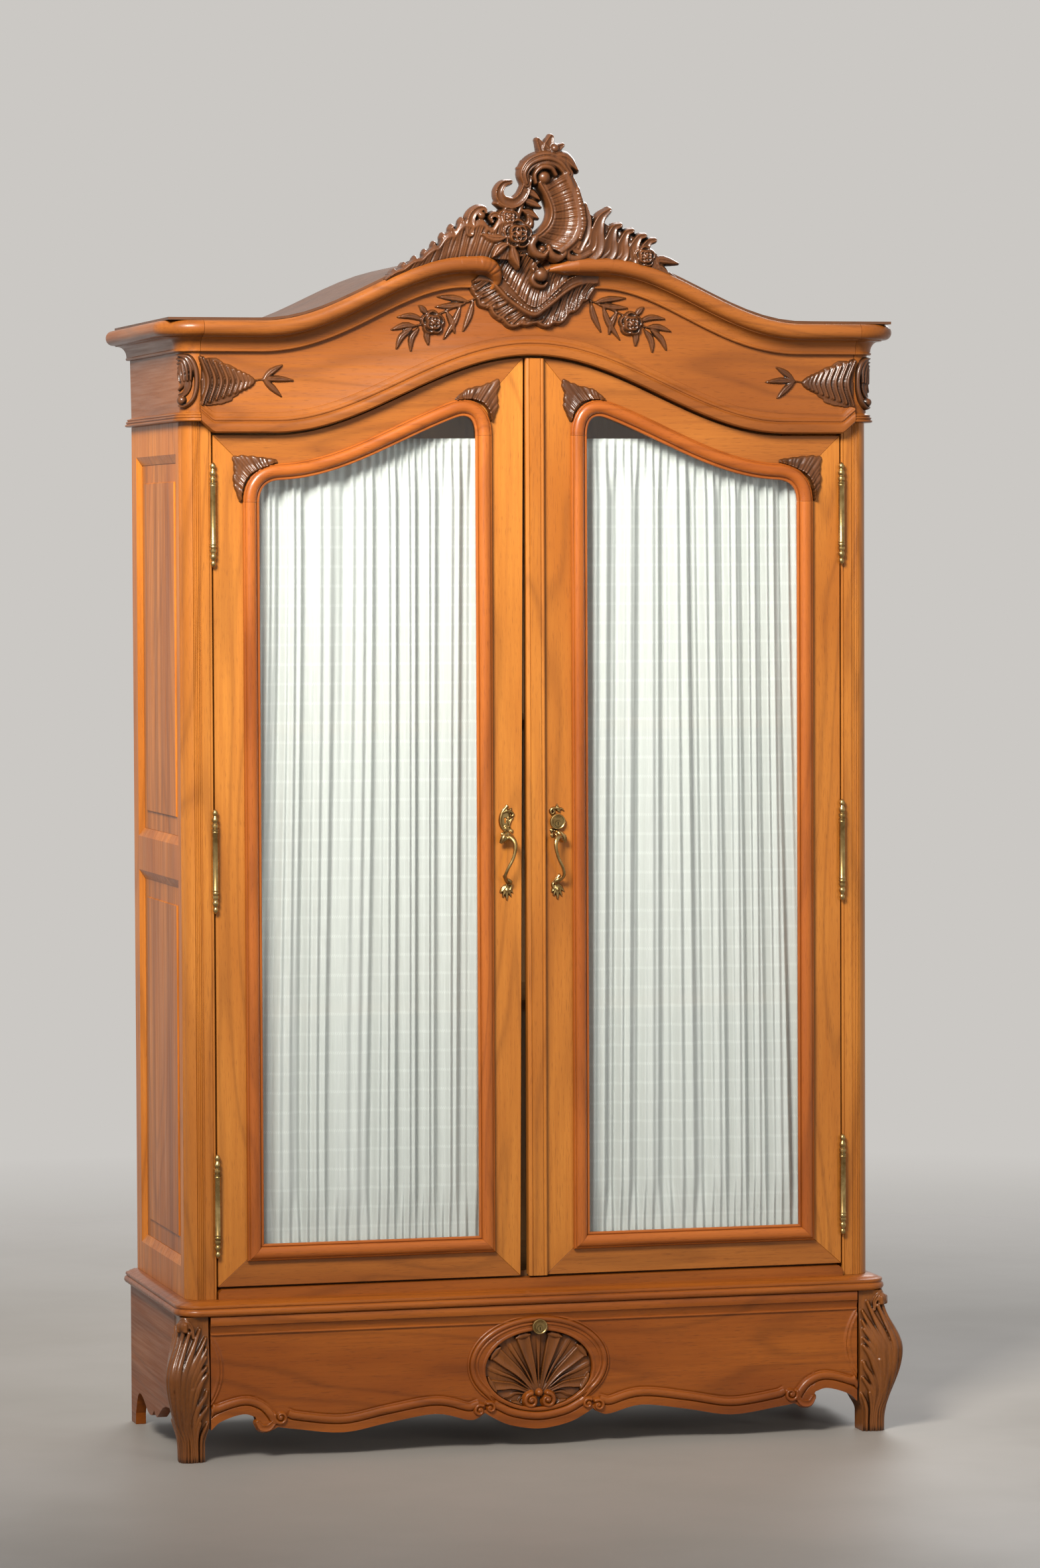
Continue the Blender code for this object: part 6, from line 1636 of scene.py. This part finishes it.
# Bent parts of a pull in mm: path as places across, out and up, radii along it, and flutes with their depth
GRIPS = (
    ("grip", [(-9, 10, 1163), (1, 20, 1169), (9, 28, 1161), (10, 31, 1147), (5, 31, 1128), (-4, 29, 1110),
              (-8, 22, 1096), (-4, 13, 1087), (3, 6, 1083)],
     (6.4, 6.0, 4.8, 3.6, 3.0, 3.0, 3.2, 3.6, 4.6), 7, 0.16),
    ("collar", [(-14, 12, 1158), (-9, 15, 1168), (1, 12, 1174), (7, 4, 1175)], (3.0, 6.2, 6.6, 5.0), 9, 0.20),
    ("curl", [(-6, 10, 1090), (1, 12, 1087), (6, 9, 1083), (4, 6, 1079), (-1, 5, 1080)],
     (2.4, 3.2, 3.6, 3.0, 1.6), 0, 0.0),
)


def carve_pull(r, name, at):
    """Plates of a pull: the left one has a keyhole between scrolls, the right one a spray over the lock."""
    if name == "left":
        r.stroke(at((-1, 1222), (-2, 1206), (-2, 1192), (2, 1180)), (5, 10, 10, 7), 1.6)
        r.stroke(at((2, 1229), (-7, 1219), (-12, 1203), (-9, 1188), (2, 1177)), (2.0, 2.6, 2.8, 2.8, 2.4), 4,
                 base=1)
        scroll = at((-7, 1216), (2, 1219), (10, 1217), (13.5, 1213), (10, 1209), (7, 1212))
        r.stroke(scroll, (2.2, 2.6, 2.6, 2.2, 1.6), 4, base=1)
        r.leaf(at((5, 1188), (7, 1199), (14, 1207)), 3.4, 3, 1)
        r.stroke(at((5, 1206), (4, 1198), (7, 1188)), (1.6, 1.8, 1.6), 3, base=1)
        r.rose(*at((-1, 1186)), 5, 1)
        r.height[keyhole(r, *at((-2, 1204))[0])] = KEYHOLE_HEIGHT
    else:
        r.stroke(at((-4, 1222), (8, 1223), (13, 1218), (11, 1212), (7, 1214)), (2.2, 2.6, 2.6, 2.4, 1.8), 4,
                 base=1)
        r.stroke(at((-12, 1219), (-8, 1222), (-2, 1218)), (1.8, 2.2, 2.4), 3, base=1)
    r.leaf(at((-5, 1215), (-1, 1223), (0, 1231)), 4.5, 3.5, 1)
    r.leaf(at((4, 1214), (8, 1221), (11, 1224)), 3.2, 3, 1)
    for place, size in (((-6, 1174), 4), ((3, 1177), 5), ((10, 1180), 4), ((9, 1171), 4)):
        r.rose(*at(place), size, 1)
    r.stroke(at((-4, 1094), (3, 1084), (9, 1076), (6, 1068), (0, 1070)), (3, 3.4, 3.2, 2.6, 2), 4, base=1)
    for tip, wide in (((-13, 1063), 4.4), ((-8, 1054), 4), ((0, 1048.5), 4.6), ((8, 1055), 4),
                      ((12, 1062), 4.2)):
        r.leaf(at((0, 1078), (0.55 * tip[0], 0.5 * (1076 + tip[1]) + 1), tip), wide, 3.4, 1)
    r.ball(*at((0, 1067)), 4, 2)


def handle(name, way):
    """Cast pull: plates with scrolls and a leaf spray at the foot, a leaf collar and a bent grip."""
    centre, node, body = HANDLE_X[name], f"{name}_handle", f"{name}_door"

    def at(*points):
        return [(centre + way * x, z) for x, z in points]

    r = Relief((centre - 20.0, 1044.0), (centre + 20.0, 1234.0), 0.45)
    r.WALL = HANDLE_WALL
    carve_pull(r, name, at)
    carving(f"{name}_handle_plates", r, 0.0, BRASS, body, [node], "brass", back=0.3, sharp=60.0,
            outwards=True)
    for part, path, radii, flutes, depth in GRIPS:
        line = [((centre + way * x) * MM, -out * MM, z * MM) for x, out, z in path]
        rings = tube(line, np.array(radii) * MM, flutes, depth)
        lofted(f"{name}_handle_{part}", rings, BRASS, body, [node], slot="brass", sharp=70.0)


KEYHOLE_EYE, KEYHOLE_SLOT, KEYHOLE_LENGTH = 2.6, 1.5, 8.0
KEYHOLE_HEIGHT = -0.4


def keyhole(relief, x, z):
    """Cells of a keyhole: a round eye with a slot below it."""
    gx, gz = np.meshgrid(relief.xs, relief.zs)
    slot = (np.abs(gx - x) < KEYHOLE_SLOT) & (gz < z) & (gz > z - KEYHOLE_LENGTH)
    return slot | (np.hypot(gx - x, gz - z) < KEYHOLE_EYE)


LOCK_PROFILE = ((15.2, 0.3), (15.2, 3.0), (14.4, 4.2), (13.2, 4.6), (12.0, 4.2), (11.2, 3.2), (9.4, 3.2),
                (8.8, 4.2))
PLUG_BORE, PLUG_DROP, BARREL = 6.0, 3.5, 11.0
# Place and depth of each lock's face
LOCKS = {
    "door_lock": ("right_door", HANDLE_X["right"] * MM, 1.197, -0.0043),
    "drawer_lock": ("drawer", 0.0, 0.232, -0.0372),
}


def lock(node):
    """Cylinder lock: ringed rosette with a bore below its centre, and the barrel behind it."""
    body, x, z, face = LOCKS[node]
    back = (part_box(node)[1].y - FACE_Y - face) / MM
    turn = np.linspace(0.0, 2.0 * math.pi, 48, endpoint=False)
    circles = [(radius, 0.0, -rise) for radius, rise in LOCK_PROFILE]
    circles += [(PLUG_BORE, PLUG_DROP, -4.2), (PLUG_BORE, PLUG_DROP, back), (BARREL, 0.0, back),
                (BARREL, 0.0, -0.3)]
    rings = [[(x + radius * MM * math.cos(a), face + depth * MM, z + (radius * math.sin(a) - drop) * MM)
              for a in turn] for radius, drop, depth in circles]
    lofted(f"{node}_rosette", rings, BRASS, body, [node], slot="brass", sharp=35.0, loop=True)


# Camera, light, and the finishes of the CAD nodes

make_camera()
make_stage(floor_surface())
make_world()
BRASS = brass()
GLASS = glass()
CARVED = wood("carved", "Z", 3.0, carved=True, gloss=0.36)
FINISH = {
    "corner_post": wood("door", "Z", 1.0),
    "side_frame": wood("side", "Z", 2.0, coat=0.04, shine=0.14),
    "side_upper_panel": wood("side", "Z", 5.0, stripes=0.4, coat=0.04, shine=0.14),
    "side_lower_panel": wood("side", "Z", 6.0, stripes=0.4, coat=0.04, shine=0.14),
    "base_top_board": wood("base", "X", 2.0),
    "base_side": wood("base", "Y", 1.0, coat=0.04, shine=0.14),
    "frieze_front": wood("hood", "X", 1.0),
    "cornice_front": wood("hood", "X", 4.0),
    "hood_side": wood("hood", "Y", 2.0, coat=0.10, shine=0.2),
    "drawer_front": wood("base", "X", 7.0),
    "meeting_astragal": wood("door", "Z", 7.0),
}
INNER_X = wood("inner", "X", 1.0, gloss=0.5)
INNER_Z = wood("inner", "Z", 2.0, gloss=0.5)
ROOF = wood("roof", "X", 3.0, gloss=0.5)


def finish_of(name):
    for start, material in FINISH.items():
        if name.startswith(start):
            return material
    if "glass" in name:
        return GLASS
    if any(word in name for word in ("hinge", "handle", "lock", "bolt", "rod")):
        return BRASS
    if "leg" in name or "crest" in name:
        return CARVED
    if "door_frame" in name or "bead" in name:
        return FINISH["corner_post"]
    if name == "roof_board":
        return ROOF
    return INNER_Z if name == "back_panel" else INNER_X


for name, node in NODES.items():
    node.data.materials.clear()
    node.data.materials.append(finish_of(name))

# Pieces

VOILE = voile()
LEG_WOOD = wood("leg", "Z", 9.0, carved=True, gloss=0.30)
carve_crest()
carve_shell()
carve_rolls(FINISH["cornice_front"])
carve_drawer(FINISH["drawer_front"])
carve_drawer_shell(LEG_WOOD)
for name in LOCKS:
    lock(name)
hood_front(FINISH["frieze_front"], FINISH["cornice_front"])
plinth(FINISH["base_top_board"], INNER_X)
astragal(FINISH["meeting_astragal"])
for name, side in SIDES:
    boards = [wood("door", "Z", seed + side) for seed in (11.0, 14.0)]
    boards += [wood("rail", "X", seed + side) for seed in (17.0, 20.0)]
    curtain(name, side, VOILE)
    carve_frieze(name, side)
    carve_door_corners(name, side)
    carve_leg(name, side, LEG_WOOD)
    carve_hood_corner(name, side)
    hood_return(name, side, FINISH["hood_side"])
    post(name, side, FINISH["corner_post"])
    door_boards(name, side, boards)
    glazing_bead(name, side, wood("bead", "X", 21.0 + side), wood("bead", "Z", 24.0 + side))
    handle(name, -side)
    for level in ("top", "middle", "bottom"):
        hinge_half(f"{name}_hinge_{level}_pin", "carcass")
        hinge_half(f"{name}_hinge_{level}_knuckle", f"{name}_door")
